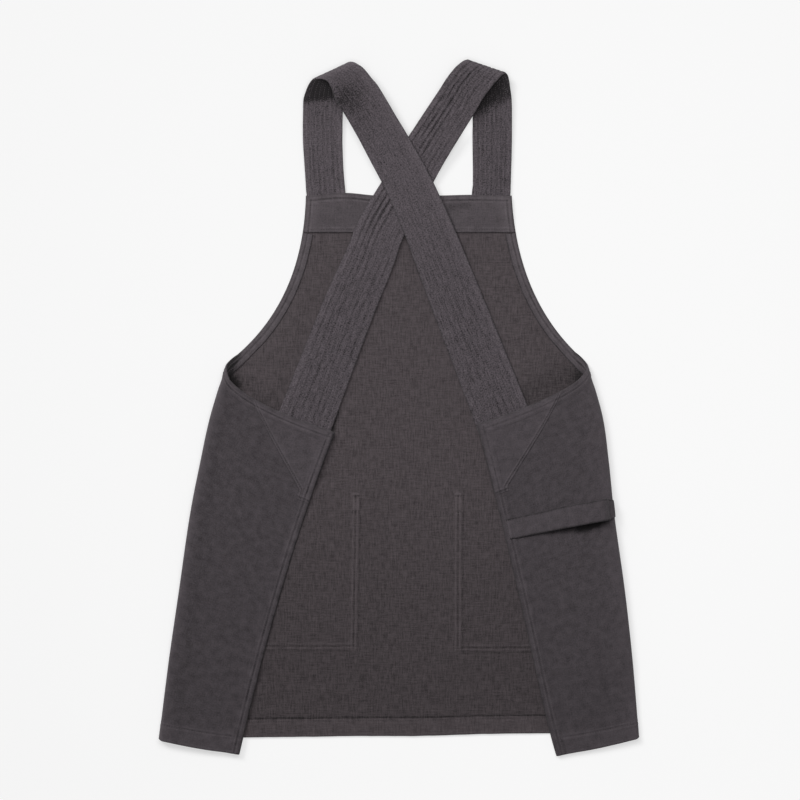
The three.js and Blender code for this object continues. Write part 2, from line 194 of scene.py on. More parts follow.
CURL = {"station": 7.1, "spread": 1.1, "across": 0.45, "aside": 0.45}
QUILT_ROWS = 7
QUILT_MARGIN = 0.125
QUILT_DEPTH = 0.7
QUILT = {"wander": 0.16, "groove": 1.15, "pillow": 0.35, "depth": (0.75, 0.6), "limits": (0.08, 1.6)}
STRONG_RIBS = {"across": (0.4, 0.62), "rise": (6, 7), "fall": (11.5, 13.5)}

# Painted shade and light at stations along a strap: its crest, past the crest, inside the fold, up to it and
# at the crossing
SHADE_AT = {
    "crest": (6.35, 0.35), "past": (8.4, 0.8), "past_across": (0.2, 0.9), "inside_ends": (6.2, 6.6),
    "up": (3.2, 4.2), "crossing": (11, 1, 3),
}
CROSSING_LIGHT = 0.14
LEFT_MARGIN, RIGHT_MARGIN = (0.1, 0.2), (0.8, 0.9)

# How deep the quilting rows pull at stations along each strap
RIB_DEPTHS = {
    "left": ((0, 5, 6.5, 11, 13, 14.5, 16), (0.7, 0.7, 0.25, 0.25, 0.45, 0.6, 0.6)),
    "right": ((0, 5, 6.5, 12, 14, 16), (0.75, 0.75, 0.65, 0.7, 0.7, 0.7)),
}

STRAP_END = {"y": 266, "left_inner": -72, "right_inner": 98, "ramp": 20, "lift": 2.4}
FACING_INSET = 0.8
FACING_PUCKER = 0.2
ARMHOLE_STRIP = {
    "width": 13.6, "below_band": 1.4, "turn": 0.42, "skew": 0.5, "blend": 0.16, "deep": 0.11,
    "columns": 17, "rows": 165, "turn_rows": 18,
}
STRIP_TONE_AND_SHADE = {"plain": 0.25, "pucker": 0.2, "rim": 1.2, "rim_width": 0.9}
BIB = {
    "columns": 190, "step": 1.25, "side_row": 5.7, "low_row": 3.5, "low_seam": 0.4, "swell": 0.3, "off": 0.5,
    "low_edge": 0.5, "low_edge_width": (3, 5), "hollow": ((70, 275), (95, 277)), "seam_end": (2, 6),
    "low_seam_end": (4, 8), "pucker_from": 4, "pucker_width": (9, 8),
}
BIB_TONE_AND_SHADE = {
    "plain": 0.12, "pucker": 0.14, "rim": 0.9, "rim_width": 0.9, "sides": 0.3, "hollow": 0.5,
    "hollow_width": 5, "side_width": (12, 22),
}
LOOP = {
    "width": 30, "taper": 0.955, "edge": 0.680, "fold": 0.6005, "end_lift": 0.015, "reach": 1.33, "rise": 9,
    "rising": (0.08, 0.58), "falling": (0.71, 0.79), "end_taper": 0.22, "start": 0.022, "caught": (9.5, 2.5),
    "caught_thick": 0.45, "sewn_lift": 0.4, "row": 3.6, "fold_seam": 1.2, "crown": 0.45,
    "corner": (0.16, 0.2), "rim": 0.1, "tack": (2, 9),
    "rows": 26, "columns": 130,
}
LOOP_TONE_AND_SHADE = {"plain": 0.22, "caught": 0.1, "corner": 0.9, "rim": 1.1}
LOOP_SHADE = {"strength": 1.3, "gap": 6, "hollow": ((247, -168), (272, -161)), "hollow_width": 4.5}
PATCH = {
    "top": 0.998, "inner": 0.008, "rows": 90, "columns": 80, "slant": 0.87, "slant_row": 3.6, "foot_row": 2.6,
    "foot_furrow": 1.1, "sewn_rows": (3, -14, 2),
}
PATCH_RELIEF = {"slant": 0.7, "foot": 0.8, "pucker": 0.22}
PATCH_RIM = {"thin": 0.35, "width": 2.5, "shade": 1.0}
PATCH_TONE_AND_SHADE = {"plain": 0.2, "turned": 0.1, "pucker": 0.15, "slant": 0.75, "foot": 0.9, "rim": 0.7}

# Pairs of stitch rows, and the furrow between the two: distances in from the edge that they hold down
EDGE_ROWS, EDGE_FURROW = (4.5, 9.6), 7.1
FACING_ROWS, FACING_FURROW = (2.8, 8.3), 5.8
ARMHOLE_ROWS, ARMHOLE_FURROW = (3.3, 8.5), 5.9
# Painted highlight along the hems' edges: its strength and how far in it reaches
HEM_RIM, HEM_RIM_WIDTH = 0.45, 2.4
STITCH = {"pitch": 3.4, "fine": 3.0, "finest": 2.4, "length": 2.5, "width": 0.6}
SEAM_END = (1, 4)
SEAM_POINTS = {
    "hem": 300, "bib": 200, "pocket": 120, "pocket_foot": 150, "flap_top": 120, "flap_hem": 90, "tack": 12,
}
FURROW_DEPTH = 0.5
FURROW_SHADE = 1.1
FURROW_WIDTH = 0.9
RIDGE = {"height": 0.65, "off": 2.4, "width": 1.2}
WELT = {
    "ridge": 0.49, "ridge_width": 1.4, "furrow": 0.62, "furrow_width": 1.0, "hollow": 0.4, "hollow_off": 3.8,
    "hollow_width": 1.6,
}

# The pockets' stitching on the front: outer and inner side rows, upper and lower bottom rows, and the tacks
POCKET_SEAMS = {"left": (-57.7, -63.2, -323.6, -329.1), "right": (78.1, 83.7, -325.5, -331.4)}
SEAM_LEAN = {"left": 0.016, "right": 0.003}
SEAM_MIDDLE = -198
SEAM_BOTTOM = 0.88
SEWN_LIGHT = {"low": 0.1, "high": 0.4}
POCKET_SEAM_ENDS = {"beside": (-1, 3), "top": (1, 2), "bottom": 5, "corner": (2, 7)}
TACKS = (-118.5, -141.5)
TACK_RELIEF = ((TACKS[0], 1.5), (TACKS[0] - 2.8, -1.1), (TACKS[1], -0.9))
TACK_SIZE = {"spread": 1.2, "half": 4.5, "thread": 0.6}

# Relief, tone, painted light and painted shade of the front and of the flaps
FRONT = {"pucker": 0.4, "lean": 0.6, "hem_soft": 1.4}
FRONT_TONE_AND_SHADE = {
    "lower_shade": 0.2, "lower_shade_fade": (-330, -40), "hem": 0.36, "pucker": 0.16, "step": 1.3, "step_off": 0.9,
    "step_width": 1.0,
}
FLAP = {
    "turned": 0.7, "hem": 0.5, "pucker": 0.24, "pulled": 0.22, "hem_seam": 0.7, "drag": 0.5, "lean": 0.4,
    "drag_lean": 0.8, "drag_rise": (EDGE_TURN - 1, EDGE_TURN + 4), "drag_fall": (18, 55), "outer": (1.5, 1.9),
}
FLAP_TONE = {"turned": 0.1, "pucker": 0.34, "pulled": 0.1, "hem_seam": 0.6, "drag": 0.12, "hem": 0.28}
INNER_SHADE = {"reach": (1.15, 1.5), "from_top": (70, 12), "rim_width": 0.6}
EDGE_PUCKER = (0.7, 0.5)
FRONT_SWELL = {
    "broad": 0.55, "small": 0.3, "crease": 1.2, "lean": (0.85, 0.5), "crease_across": (110, 160),
    "crease_up": (-40, 20), "under_band": (205, 232), "side": 40,
}
FLAP_SWELL = {"broad": 0.55, "small": 0.3, "edge": (0, 0.3), "fold": (0.9, 1.2)}
PRESSED = {"last_loose": 9, "beside": (42, 62), "end": (-30, -5)}

# Random ripples in the cloth: the size of their cells both ways, and a seed
LATTICE = 128
RIPPLES = {
    "front_broad": (75, 95, 3), "front_small": (28, 40, 4), "front_crease": (17, 60, 5),
    "hem_pucker": (11, 60, 11), "hem_seam": (12, 90, 12), "pocket_seam": (5, 5, 13),
    "flap_broad": (60, 110, 21), "flap_small": (25, 45, 22),
    "edge_pucker": (6, 6, 31), "edge_crinkle": (3, 3, 32), "flap_hem": (10, 40, 33), "edge_seam": (5, 5, 34),
    "flap_drag": (9, 40, 35),
    "bib_pucker": (7, 9, 41), "bib_swell": (40, 25, 42), "bib_seam": (5, 5, 43),
    "strip_pucker": (5, 20, 51), "strip_seam": (5, 5, 52),
    "strap_crinkle": (5, 3.2, 0), "strap_fine": (3.2, 2.0, 1), "strap_depth": (30, 7, 2),
    "strap_wander": (60, 10, 3), "strap_back": (5, 3.2, 5),
}
UNEVEN = {
    "hem_seam": (0.35, 0.3), "pocket_seam": (0.85, 0.45), "edge_seam": (1, 0.5), "bib_seam": (0.85, 0.45),
    "strip_seam": (0.65, 0.4),
}

# Sizes of the cloth's grain, its slubs and its mottling
THREADS = {"grain": 2.0, "thin": 1.9, "long": 14.0, "cloud": 11.0}
WEAVE = {"repeat": 1.1, "tone": 0.16, "relief": 0.6}
# Painted shade added to every rim, for dark contact lines at the cloths' edges
RIM_SHADE = -0.35
TONE = {"rub": 0.5, "offset": 0.7, "range": 1.2, "between": (0.16, 1.6)}
BUMP = {"strength": 0.5, "height": 0.0004}
SOFT_SHADER = {"Specular IOR Level": 0.2, "Sheen Weight": 0.08, "Sheen Roughness": 0.6}
ROUGH = {"canvas": 0.9, "thread": 0.7, "floor": 0.9}
THREAD_TONE = {"between": (0.8, 1.2), "noise": 900.0}

# The picture's frame on the floor, and the camera that takes it
PIXEL = 1.37
PICTURE = 800
CENTRE = (1.4, 10.3)
CAMERA_HEIGHT = 6000
SENSOR = 36
FARTHEST = 20

# Linear colours of the cloths and the thread
INSIDE_COLOUR = (0.0654, 0.0540, 0.0580)
OUTSIDE_COLOUR = (0.0591, 0.0504, 0.0562)
EDGING_COLOUR = (0.070, 0.0599, 0.0659)
STRAP_COLOUR = (0.0737, 0.0625, 0.0702)
THREAD_COLOUR = (0.088, 0.075, 0.082)
FLOOR_COLOUR = (0.45, 0.45, 0.45)
FLOOR_GLOW = {"far": 0.638, "under_pool": 0.16, "away_from_key": 0.011, "painted_window_light": 0.2}
NECK_WINDOW_LIGHT = (0.0925, 0.384, 0.022)
FLOOR_HALF, FLOOR_LEVEL, FLOOR_TILT = 9.0, -0.6 * MM, 0.12
AIR = 0.2
KEY = {"place": (-3.9, 4.1, 5.2), "size": 2.6, "power": 255}
POOL = {"place": (0.0, 0.42, 1.35), "size": 1.0, "power": 11.5}


# Small helpers for shapes

def smooth(value, low, high):
    share = np.clip((value - low) / (high - low), 0, 1)
    return share * share * (3 - 2 * share)


def mix(start, end, share):
    return start + (end - start) * share


def quadratic(places, share):
    start, middle, end = (np.array(place, float) for place in places)
    share = np.asarray(share, float)[..., None]
    return (1 - share) ** 2 * start + 2 * share * (1 - share) * middle + share**2 * end


def hill(value, rise, fall):
    """1 on a stretch, rising to it between two values and falling from it between two others."""
    return smooth(value, *rise) * (1 - smooth(value, *fall))


def hump(distance, spread):
    """1 at a place, fading out over the spread on both sides of it."""
    return np.exp(-((distance / spread) ** 2))


def ripple(name, x, y, seed=0):
    """Smooth random ripples from -1 to 1, over cells of a named size."""
    cell_x, cell_y, number = RIPPLES[name]
    lattice = np.random.default_rng(seed + number).uniform(-1, 1, (LATTICE, LATTICE))
    u, v = np.broadcast_arrays(np.asarray(x) / cell_x, np.asarray(y) / cell_y)
    i, j = np.floor(u).astype(int), np.floor(v).astype(int)
    s, t = smooth(u - i, 0, 1), smooth(v - j, 0, 1)
    low, high = (
        mix(lattice[i % LATTICE, k % LATTICE], lattice[(i + 1) % LATTICE, k % LATTICE], s) for k in (j, j + 1)
    )
    return mix(low, high, t)


def uneven(name, x, y):
    """How strong a seam's relief is from place to place."""
    middle, spread = UNEVEN[name]
    return middle + spread * ripple(name, x, y)


def from_segment(x, y, start, end):
    """How far places are from a straight line between two others."""
    way = np.array(end, float) - start
    share = np.clip(((x - start[0]) * way[0] + (y - start[1]) * way[1]) / (way @ way), 0, 1)
    return np.hypot(x - start[0] - share * way[0], y - start[1] - share * way[1])


def band(distance, width, soft=1.0):
    """1 within the width of an edge, and 0 past it."""
    return 1 - smooth(distance, width - soft / 2, width + soft / 2)


def furrows(distance, *rows, width=FURROW_WIDTH):
    """Stitched rows: -1 in each furrow, with a lower ridge of pulled cloth on both sides of it."""
    relief = 0.0
    for row in rows:
        off = np.abs(distance - row)
        relief = relief - hump(off, width) + RIDGE["height"] * hump(off - RIDGE["off"], RIDGE["width"])
    return relief


def welts(distance, first, second):
    """An edge sewn on from behind: two ridges with a furrow between them, and a hollow past them on one side,
    which is also darkened as painted shade.
    """
    ridges = sum(hump(distance - row, WELT["ridge_width"]) for row in (first, second))
    between = hump(distance - (first + second) / 2, WELT["furrow_width"])
    past = hump(distance - max(first, second) - WELT["hollow_off"], WELT["hollow_width"])
    return WELT["ridge"] * ridges - WELT["furrow"] * between - WELT["hollow"] * past


def spline(places, share):
    """A smooth line through places, with a share from 0 at the first to 1 at the last."""
    places = np.array(places, float)
    station = np.asarray(share, float) * (len(places) - 1)
    i = np.clip(np.floor(station).astype(int), 0, len(places) - 2)
    t = (station - i)[..., None]
    before, after = places[np.maximum(i - 1, 0)], places[np.minimum(i + 2, len(places) - 1)]
    start, end = places[i], places[i + 1]
    return hermite(start, end, (end - before) / 2, (after - start) / 2, t)


def hermite(start, end, lean_in, lean_out, t):
    eased = 3 * t**2 - 2 * t**3
    return mix(start, end, eased) + (t**3 - 2 * t**2 + t) * lean_in + (t**3 - t**2) * lean_out


class Bend:
    """A smooth bend of an outline, followed by its length."""

    def __init__(self, places, form=quadratic):
        self.points = form(places, np.linspace(0, 1, BEND_POINTS))
        steps = np.linalg.norm(np.diff(self.points, axis=0), axis=1)
        self.length = steps.sum()
        self.shares = np.concatenate([[0], np.cumsum(steps)]) / self.length

    def at(self, share):
        return np.stack([np.interp(share, self.shares, self.points[:, k]) for k in (0, 1)], axis=-1)

    def heading(self, share):
        step = 0.004
        way = self.at(np.minimum(share + step, 1)) - self.at(np.maximum(share - step, 0))
        return way / np.linalg.norm(way, axis=-1, keepdims=True)

    def inward(self, share, sign):
        up = self.heading(share)
        return np.stack([up[..., 1], -up[..., 0]], axis=-1) * sign


# The body's surfaces

class Side:
    """One side of the body: its rolled fold, its flap and its armhole."""

    def __init__(self, outline):
        self.sign = outline["inward"]
        self.pocket = outline["pocket"]
        self.patch = outline["patch"]
        self.fold = Bend(outline["fold"], spline)
        self.edge = Bend(outline["edge"])
        self.outline = outline

    def finish(self):
        """The armhole and the flap's top edge start where the roll ends."""
        start, end = (self.roll(turn, 1.0)[:2] for turn in (0.0, 1.0))
        self.armhole = Bend([start, self.outline["armhole_bend"], self.outline["bib_top"]])
        self.top = [self.outline["edge"][2], self.outline["top_bend"], end]

    def hem_lift(self, along):
        """How far a flap's hem stands off the floor by itself."""
        return self.outline["hem_lift"] * (1 - along) ** BOW_FADE

    def roll(self, turn, along):
        """From turn 0 on the front to turn 1 on the flap, at a share of the fold's length."""
        turn, along = np.broadcast_arrays(np.asarray(turn, float), np.asarray(along, float))
        fold, up, inward = self.fold.at(along), self.fold.heading(along), self.fold.inward(along, self.sign)
        depth = mix(ROLL["hem_depth"], ROLL["top_depth"], along)
        rise = mix(ROLL["hem_rise"], ROLL["top_rise"], along) + self.hem_lift(along)
        top = along**TOP_FADE
        slant = self.outline["slant"]
        front, flap = (mix(HEM_SLANT, slant[name], top) for name in ("front", "flap"))
        start = fold + inward * depth[..., None] + up * front[..., None]
        share = 1 - np.sin(turn * math.pi)
        lean = np.where(turn < 0.5, front, -flap) * share**ROLL_BOW
        flat = fold + inward * (depth * share)[..., None] + up * lean[..., None]
        z = front_height(start[..., 0], start[..., 1]) + rise * (1 - np.cos(turn * math.pi)) / 2
        return np.concatenate([flat, z[..., None]], axis=-1)

    def free_edge(self, along):
        """The flap's free edge, which swings out at its lower corner."""
        edge = self.edge.at(along)
        edge[..., 0] -= self.sign * self.outline["corner_out"] * (1 - along) ** CORNER_FADE
        return edge

    def flap(self, share, along):
        """From share 0 at the free edge to share 1 where the roll starts."""
        share, along = np.broadcast_arrays(np.asarray(share, float), np.asarray(along, float))
        end = self.roll(1.0, along)
        chord = quadratic([self.top[0], np.mean([self.top[0], self.top[2]], axis=0), self.top[2]], share)
        hollow = quadratic(self.top, share) - chord
        flat = mix(self.free_edge(along), end[..., :2], share[..., None])
        flat = flat + hollow * (along**TOP_FADE)[..., None]
        bow = HEM_BOW * np.sin(share * math.pi) * smooth(share, *BOW_SHARE)
        flat[..., 1] -= bow * (1 - along) ** BOW_FADE
        edge_z = FLAP_EDGE_Z + FLAP_CORNER["rise"] * smooth(along, FLAP_CORNER["low"], FLAP_CORNER["high"])
        edge_z = edge_z + self.hem_lift(along)
        z = mix(edge_z, end[..., 2], smooth(share, 0, 1))
        return np.concatenate([flat, z[..., None]], axis=-1)

    def cloth(self, reach, along):
        """Reach 0 at the flap's free edge, 1 where the roll starts, 2 on the front."""
        reach, along = np.broadcast_arrays(np.asarray(reach, float), np.asarray(along, float))
        flap = self.flap(np.minimum(reach, 1), along)
        roll = self.roll(np.clip(2 - reach, 0, 1), along)
        return np.where((reach <= 1)[..., None], flap, roll)

    def from_edge(self, reach, along):
        """How far in from the flap's free edge a place is, along the cloth."""
        reach, along = np.broadcast_arrays(np.minimum(reach, 1), along)
        steps = [self.flap(reach * share, along)[..., :2] for share in np.linspace(0, 1, EDGE_STEPS + 1)]
        return sum(np.linalg.norm(steps[k + 1] - steps[k], axis=-1) for k in range(EDGE_STEPS))

    def width(self, along):
        return np.linalg.norm(self.free_edge(along) - self.roll(1.0, along)[..., :2], axis=-1)


def over_pocket(side, x, y):
    """1 over a pocket, fading to 0 beside it."""
    pocket = side.pocket
    past = (x - pocket["inner"]) * side.sign
    beyond = np.maximum(past, np.maximum(y - pocket["top"], pocket["bottom"] - y)) - POCKET_MARGIN
    return 1 - smooth(beyond, 0, POCKET_RAMP)


def front_height(x, y):
    """The height of the front's middle, which the pockets hold up."""
    lift = np.maximum(over_pocket(SIDES["left"], x, y), over_pocket(SIDES["right"], x, y))
    return CANVAS / 2 + (POCKET_CLOTH + GAP) * lift


SIDES = {"left": Side(LEFT), "right": Side(RIGHT)}
for side in SIDES.values():
    side.finish()


def bib_lift(x):
    """How far the straps hold the bib's top edge up beside them."""
    lift = np.where(x < BIB_CENTRE, BIB_LIFT["left"], BIB_LIFT["right"])
    return lift * hill(np.abs(x - BIB_CENTRE), BIB_LIFT["rise"], BIB_LIFT["fall"])


def under_straps(x, y):
    """1 where a strap presses the front flat, fading to 0 beside it."""
    pressed = 0.0
    rows = STRAP_SECTIONS[: PRESSED["last_loose"] : -1]
    levels = [row[0] for row in rows]
    for column in (1, 2):
        middle = np.interp(y, levels, [row[column] for row in rows])
        pressed = np.maximum(pressed, 1 - smooth(np.abs(x - middle), *PRESSED["beside"]))
    return pressed * smooth(y, *(levels[0] + below for below in PRESSED["end"]))


def front_swell(x, y, from_side):
    """Soft swells and creases of the front, which fade out at its sides and under straps and facing."""
    size = FRONT_SWELL
    swell = size["broad"] * (1 + ripple("front_broad", x, y))
    swell = swell + size["small"] * (1 + ripple("front_small", x, y))
    lean = size["lean"][0] * x * np.sign(x - BIB_CENTRE) + size["lean"][1] * y
    crease = size["crease"] * (1 + ripple("front_crease", lean, y - lean))
    crease = crease * smooth(np.abs(x - BIB_CENTRE), *size["crease_across"]) * smooth(y, *size["crease_up"])
    swell = (swell + crease) * (1 - under_straps(x, y)) * (1 - smooth(y, *size["under_band"]))
    return swell * smooth(from_side, 0, size["side"])


def swell_flap(points, reach):
    """Raises a flap's points in soft swells, which fade out at its free edge and round the fold."""
    x, y = points[..., 0], points[..., 1]
    swell = FLAP_SWELL["broad"] * ripple("flap_broad", x, y)
    swell = swell + FLAP_SWELL["small"] * ripple("flap_small", x, y)
    points[..., 2] += swell * hill(reach, FLAP_SWELL["edge"], FLAP_SWELL["fold"])


# Cloth meshes

class Cloth:
    """A sheet of cloth on one or more joined grids, with a thickness above and below it."""

    def __init__(self):
        self.points, self.above, self.below, self.uv = [], [], [], []
        self.rub_above, self.rub_below, self.quads = [], [], []
        self.count = 0

    def add(self, points, above, below, uv, rub_above=0.0, rub_below=0.0):
        """A grid of points, rows by columns. Gives back its vertex numbers."""
        shape = points.shape[:2]
        for store, values in (
            (self.above, above), (self.below, below), (self.rub_above, rub_above), (self.rub_below, rub_below)
        ):
            store.append(np.broadcast_to(values, shape).ravel())
        self.points.append(points.reshape(-1, 3))
        self.uv.append(uv.reshape(-1, 2))
        numbers = np.arange(self.count, self.count + shape[0] * shape[1]).reshape(shape)
        self.count += numbers.size
        return numbers

    def join(self, numbers):
        corners = (numbers[:-1, :-1], numbers[:-1, 1:], numbers[1:, 1:], numbers[1:, :-1])
        self.quads.append(np.stack([corner.ravel() for corner in corners], axis=1))

    def solve(self):
        """Works out both faces of the cloth and its rim."""
        for name in ("points", "above", "below", "uv", "rub_above", "rub_below", "quads"):
            setattr(self, name, np.concatenate(getattr(self, name)))
        points, quads = self.points, self.quads
        across = points[quads[:, 2]] - points[quads[:, 0]]
        facing = np.cross(across, points[quads[:, 3]] - points[quads[:, 1]])
        normal = np.zeros_like(points)
        for corner in range(4):
            np.add.at(normal, quads[:, corner], facing)
        self.normal = normal / np.maximum(np.linalg.norm(normal, axis=1, keepdims=True), TINY)
        self.top = points + self.normal * self.above[:, None]
        self.bottom = points - self.normal * self.below[:, None]
        self.area = np.linalg.norm(facing, axis=1).sum() / 2

    def rim_edges(self):
        """Edges that only one quad has."""
        quads = self.quads
        edges = np.concatenate([quads[:, [k, (k + 1) % 4]] for k in range(4)])
        there, back = edges[:, 0] * self.count + edges[:, 1], edges[:, 1] * self.count + edges[:, 0]
        return edges[~np.isin(there, back)]

    def mesh(self, name, inside, outside):
        """A closed mesh with rounded rims, in metres."""
        rim = self.rim_edges()
        way = self.points[rim[:, 1]] - self.points[rim[:, 0]]
        out = np.zeros_like(self.points)
        for end in range(2):
            np.add.at(out, rim[:, end], np.cross(way, self.normal[rim[:, end]]))
        used = np.unique(rim)
        out = out[used] / np.maximum(np.linalg.norm(out[used], axis=1, keepdims=True), TINY)
        middle = (self.top[used] + self.bottom[used]) / 2
        rounded = middle + out * (((self.above + self.below) / 2 * ROUNDNESS)[used])[:, None]
        place = np.zeros(self.count, int)
        place[used] = 2 * self.count + np.arange(len(used))
        start, end = rim[:, 0], rim[:, 1]
        below = self.count
        faces = np.concatenate([
            self.quads,
            self.quads[:, ::-1] + below,
            np.stack([end, start, place[start], place[end]], axis=1),
            np.stack([place[end], place[start], start + below, end + below], axis=1),
        ])
        mesh = bpy.data.meshes.new(name)
        mesh.from_pydata(np.concatenate([self.top, self.bottom, rounded]) * MM, [], faces)
        uv = np.concatenate([self.uv, self.uv, self.uv[used]]) * MM
        # painted shade on every rim
        rim_tone_and_light = (self.rub_above + self.rub_below)[used] / 2 + RIM_SHADE
        rub = np.concatenate([self.rub_above, self.rub_below, rim_tone_and_light])
        corner_vertex = np.empty(len(mesh.loops), np.int32)
        mesh.loops.foreach_get("vertex_index", corner_vertex)
        mesh.uv_layers.new(name="cloth").uv.foreach_set("vector", uv[corner_vertex].ravel())
        mesh.attributes.new("rub", "FLOAT", "POINT").data.foreach_set("value", rub)
        mesh.materials.append(inside)
        mesh.materials.append(outside)
        slots = np.ones(len(faces), np.int32)
        slots[: len(self.quads)] = 0
        mesh.polygons.foreach_set("material_index", slots)
        mesh.polygons.foreach_set("use_smooth", np.ones(len(faces), bool))
        mesh.update()
        return put(name, mesh)


def sheet(points, above, below, uv, rub_above=0.0, rub_below=0.0):
    """A cloth on one grid of points, and the grid's vertex numbers."""
    cloth = Cloth()
    numbers = cloth.add(points, above, below, uv, rub_above, rub_below)
    cloth.join(numbers)
    cloth.solve()
    return cloth, numbers


def put(name, mesh):
    piece = bpy.data.objects.new(name, mesh)
    bpy.context.scene.collection.objects.link(piece)
    return piece


def line_on(grid, rows, columns):
    """The places of a seam on a grid of points, at row and column numbers that may be fractions."""
    rows, columns = np.broadcast_arrays(np.asarray(rows, float), np.asarray(columns, float))
    i = np.clip(np.floor(rows).astype(int), 0, grid.shape[0] - 2)
    j = np.clip(np.floor(columns).astype(int), 0, grid.shape[1] - 2)
    s, t = (rows - i)[:, None], (columns - j)[:, None]
    return mix(mix(grid[i, j], grid[i, j + 1], t), mix(grid[i + 1, j], grid[i + 1, j + 1], t), s)


def number_of(value, values):
    """Where a value falls among rising values, as a number that may be a fraction."""
    return np.interp(value, values, np.arange(len(values)))


# Materials

def node(tree, kind, inputs=(), **settings):
    """A new node, with its settings made and its inputs linked or set."""
    made = tree.nodes.new(kind)
    for name, value in settings.items():
        setattr(made, name, value)
    for name, value in dict(inputs).items():
        socket = made.inputs[name]
        if isinstance(value, bpy.types.NodeSocket):
            tree.links.new(value, socket)
        else:
            socket.default_value = value
    return made


def math_node(tree, operation, first, second):
    return node(tree, "ShaderNodeMath", {0: first, 1: second}, operation=operation).outputs[0]


def stretched_noise(tree, vector, scale, detail=2.0):
    """Streaks: noise that is drawn out along one thread direction."""
    mapped = node(tree, "ShaderNodeMapping", {"Vector": vector, "Scale": (*scale, 1.0)})
    noise = node(tree, "ShaderNodeTexNoise", {"Vector": mapped.outputs[0], "Scale": 1.0, "Detail": detail})
    return noise.outputs["Fac"]


def weighted(tree, value, middle, weight):
    """A value taken about its middle and scaled."""
    return math_node(tree, "MULTIPLY", math_node(tree, "SUBTRACT", value, middle), weight)


def plain_weave(tree, uv):
    """Thread over thread, one way and then the other."""
    parts = node(tree, "ShaderNodeSeparateXYZ", {"Vector": uv}).outputs
    turns = 2 * math.pi / (WEAVE["repeat"] * MM)
    waves = [math_node(tree, "SINE", math_node(tree, "MULTIPLY", parts[k], turns), 0.0) for k in (0, 1)]
    return math_node(tree, "MULTIPLY", *waves)


def new_material(name, roughness):
    """A material with its node tree and its shader."""
    material = bpy.data.materials.new(name)
    material.use_nodes = True
    shader = material.node_tree.nodes["Principled BSDF"]
    shader.inputs["Roughness"].default_value = roughness
    return material, material.node_tree, shader


def tint(tree, shader, share, colour, between):
    """Colours a shader between a darker and a lighter tone."""
    tone = node(tree, "ShaderNodeMix", {"Factor": share}, data_type="RGBA", clamp_factor=True)
    for socket, scale in zip("AB", between):
        tone.inputs[socket].default_value = (*(scale * c for c in colour), 1)
    tree.links.new(tone.outputs["Result"], shader.inputs["Base Color"])


def canvas_material(name, colour, grain, warp, weft, mottle):
    """Matte woven cloth: fine grain, slubby threads both ways, soft mottling, and a tone from the mesh that
    carries seam wear, painted light and painted shade.
    """
    material, tree, shader = new_material(name, ROUGH["canvas"])
    uv = node(tree, "ShaderNodeUVMap", uv_map="cloth").outputs[0]
    fine, thin, long, cloud = (1 / (THREADS[size] * MM) for size in ("grain", "thin", "long", "cloud"))
    specks = stretched_noise(tree, uv, (fine, fine))
    warps = stretched_noise(tree, uv, (thin, long))
    wefts = stretched_noise(tree, uv, (long, thin))
    clouds = stretched_noise(tree, uv, (cloud, cloud), detail=3.0)
    weave = plain_weave(tree, uv)
    # the mesh's tone: seam wear together with painted light and painted shade
    rub = node(tree, "ShaderNodeAttribute", attribute_name="rub").outputs["Fac"]
    share = math_node(tree, "MULTIPLY", rub, TONE["rub"])
    share = math_node(tree, "ADD", share, weighted(tree, weave, 0.0, WEAVE["tone"]))
    for value, weight in ((specks, grain), (warps, warp), (wefts, weft), (clouds, mottle)):
        share = math_node(tree, "ADD", share, weighted(tree, value, 0.5, weight))
    share = math_node(tree, "DIVIDE", math_node(tree, "ADD", share, TONE["offset"]), TONE["range"])
    tint(tree, shader, share, colour, TONE["between"])
    height = math_node(tree, "ADD", math_node(tree, "ADD", warps, wefts), specks)
    height = math_node(tree, "ADD", height, weighted(tree, weave, 0.0, WEAVE["relief"]))
    inputs = {"Height": height, "Strength": BUMP["strength"], "Distance": BUMP["height"]}
    tree.links.new(node(tree, "ShaderNodeBump", inputs).outputs[0], shader.inputs["Normal"])
    for socket, value in SOFT_SHADER.items():
        shader.inputs[socket].default_value = value
    return material


def thread_material():
    """Sewing thread, a little lighter and darker along its length."""
    material, tree, shader = new_material("seam_thread", ROUGH["thread"])
    place = node(tree, "ShaderNodeTexCoord").outputs["Object"]
    inputs = {"Vector": place, "Scale": THREAD_TONE["noise"], "Detail": 1.0}
    noise = node(tree, "ShaderNodeTexNoise", inputs).outputs["Fac"]
    tint(tree, shader, noise, THREAD_COLOUR, THREAD_TONE["between"])
    return material


INSIDE = canvas_material("canvas_inside", INSIDE_COLOUR, grain=0.6, warp=1.0, weft=0.8, mottle=0.3)
OUTSIDE = canvas_material("canvas_outside", OUTSIDE_COLOUR, grain=0.8, warp=0.25, weft=0.25, mottle=0.8)
EDGING = canvas_material("canvas_edging", EDGING_COLOUR, grain=0.8, warp=0.5, weft=0.4, mottle=0.3)
QUILTED = canvas_material("quilted_canvas", STRAP_COLOUR, grain=2.3, warp=1.0, weft=0.2, mottle=0.3)
THREAD = thread_material()


# Stitching, made by one node tree that sets stitches along seam lines

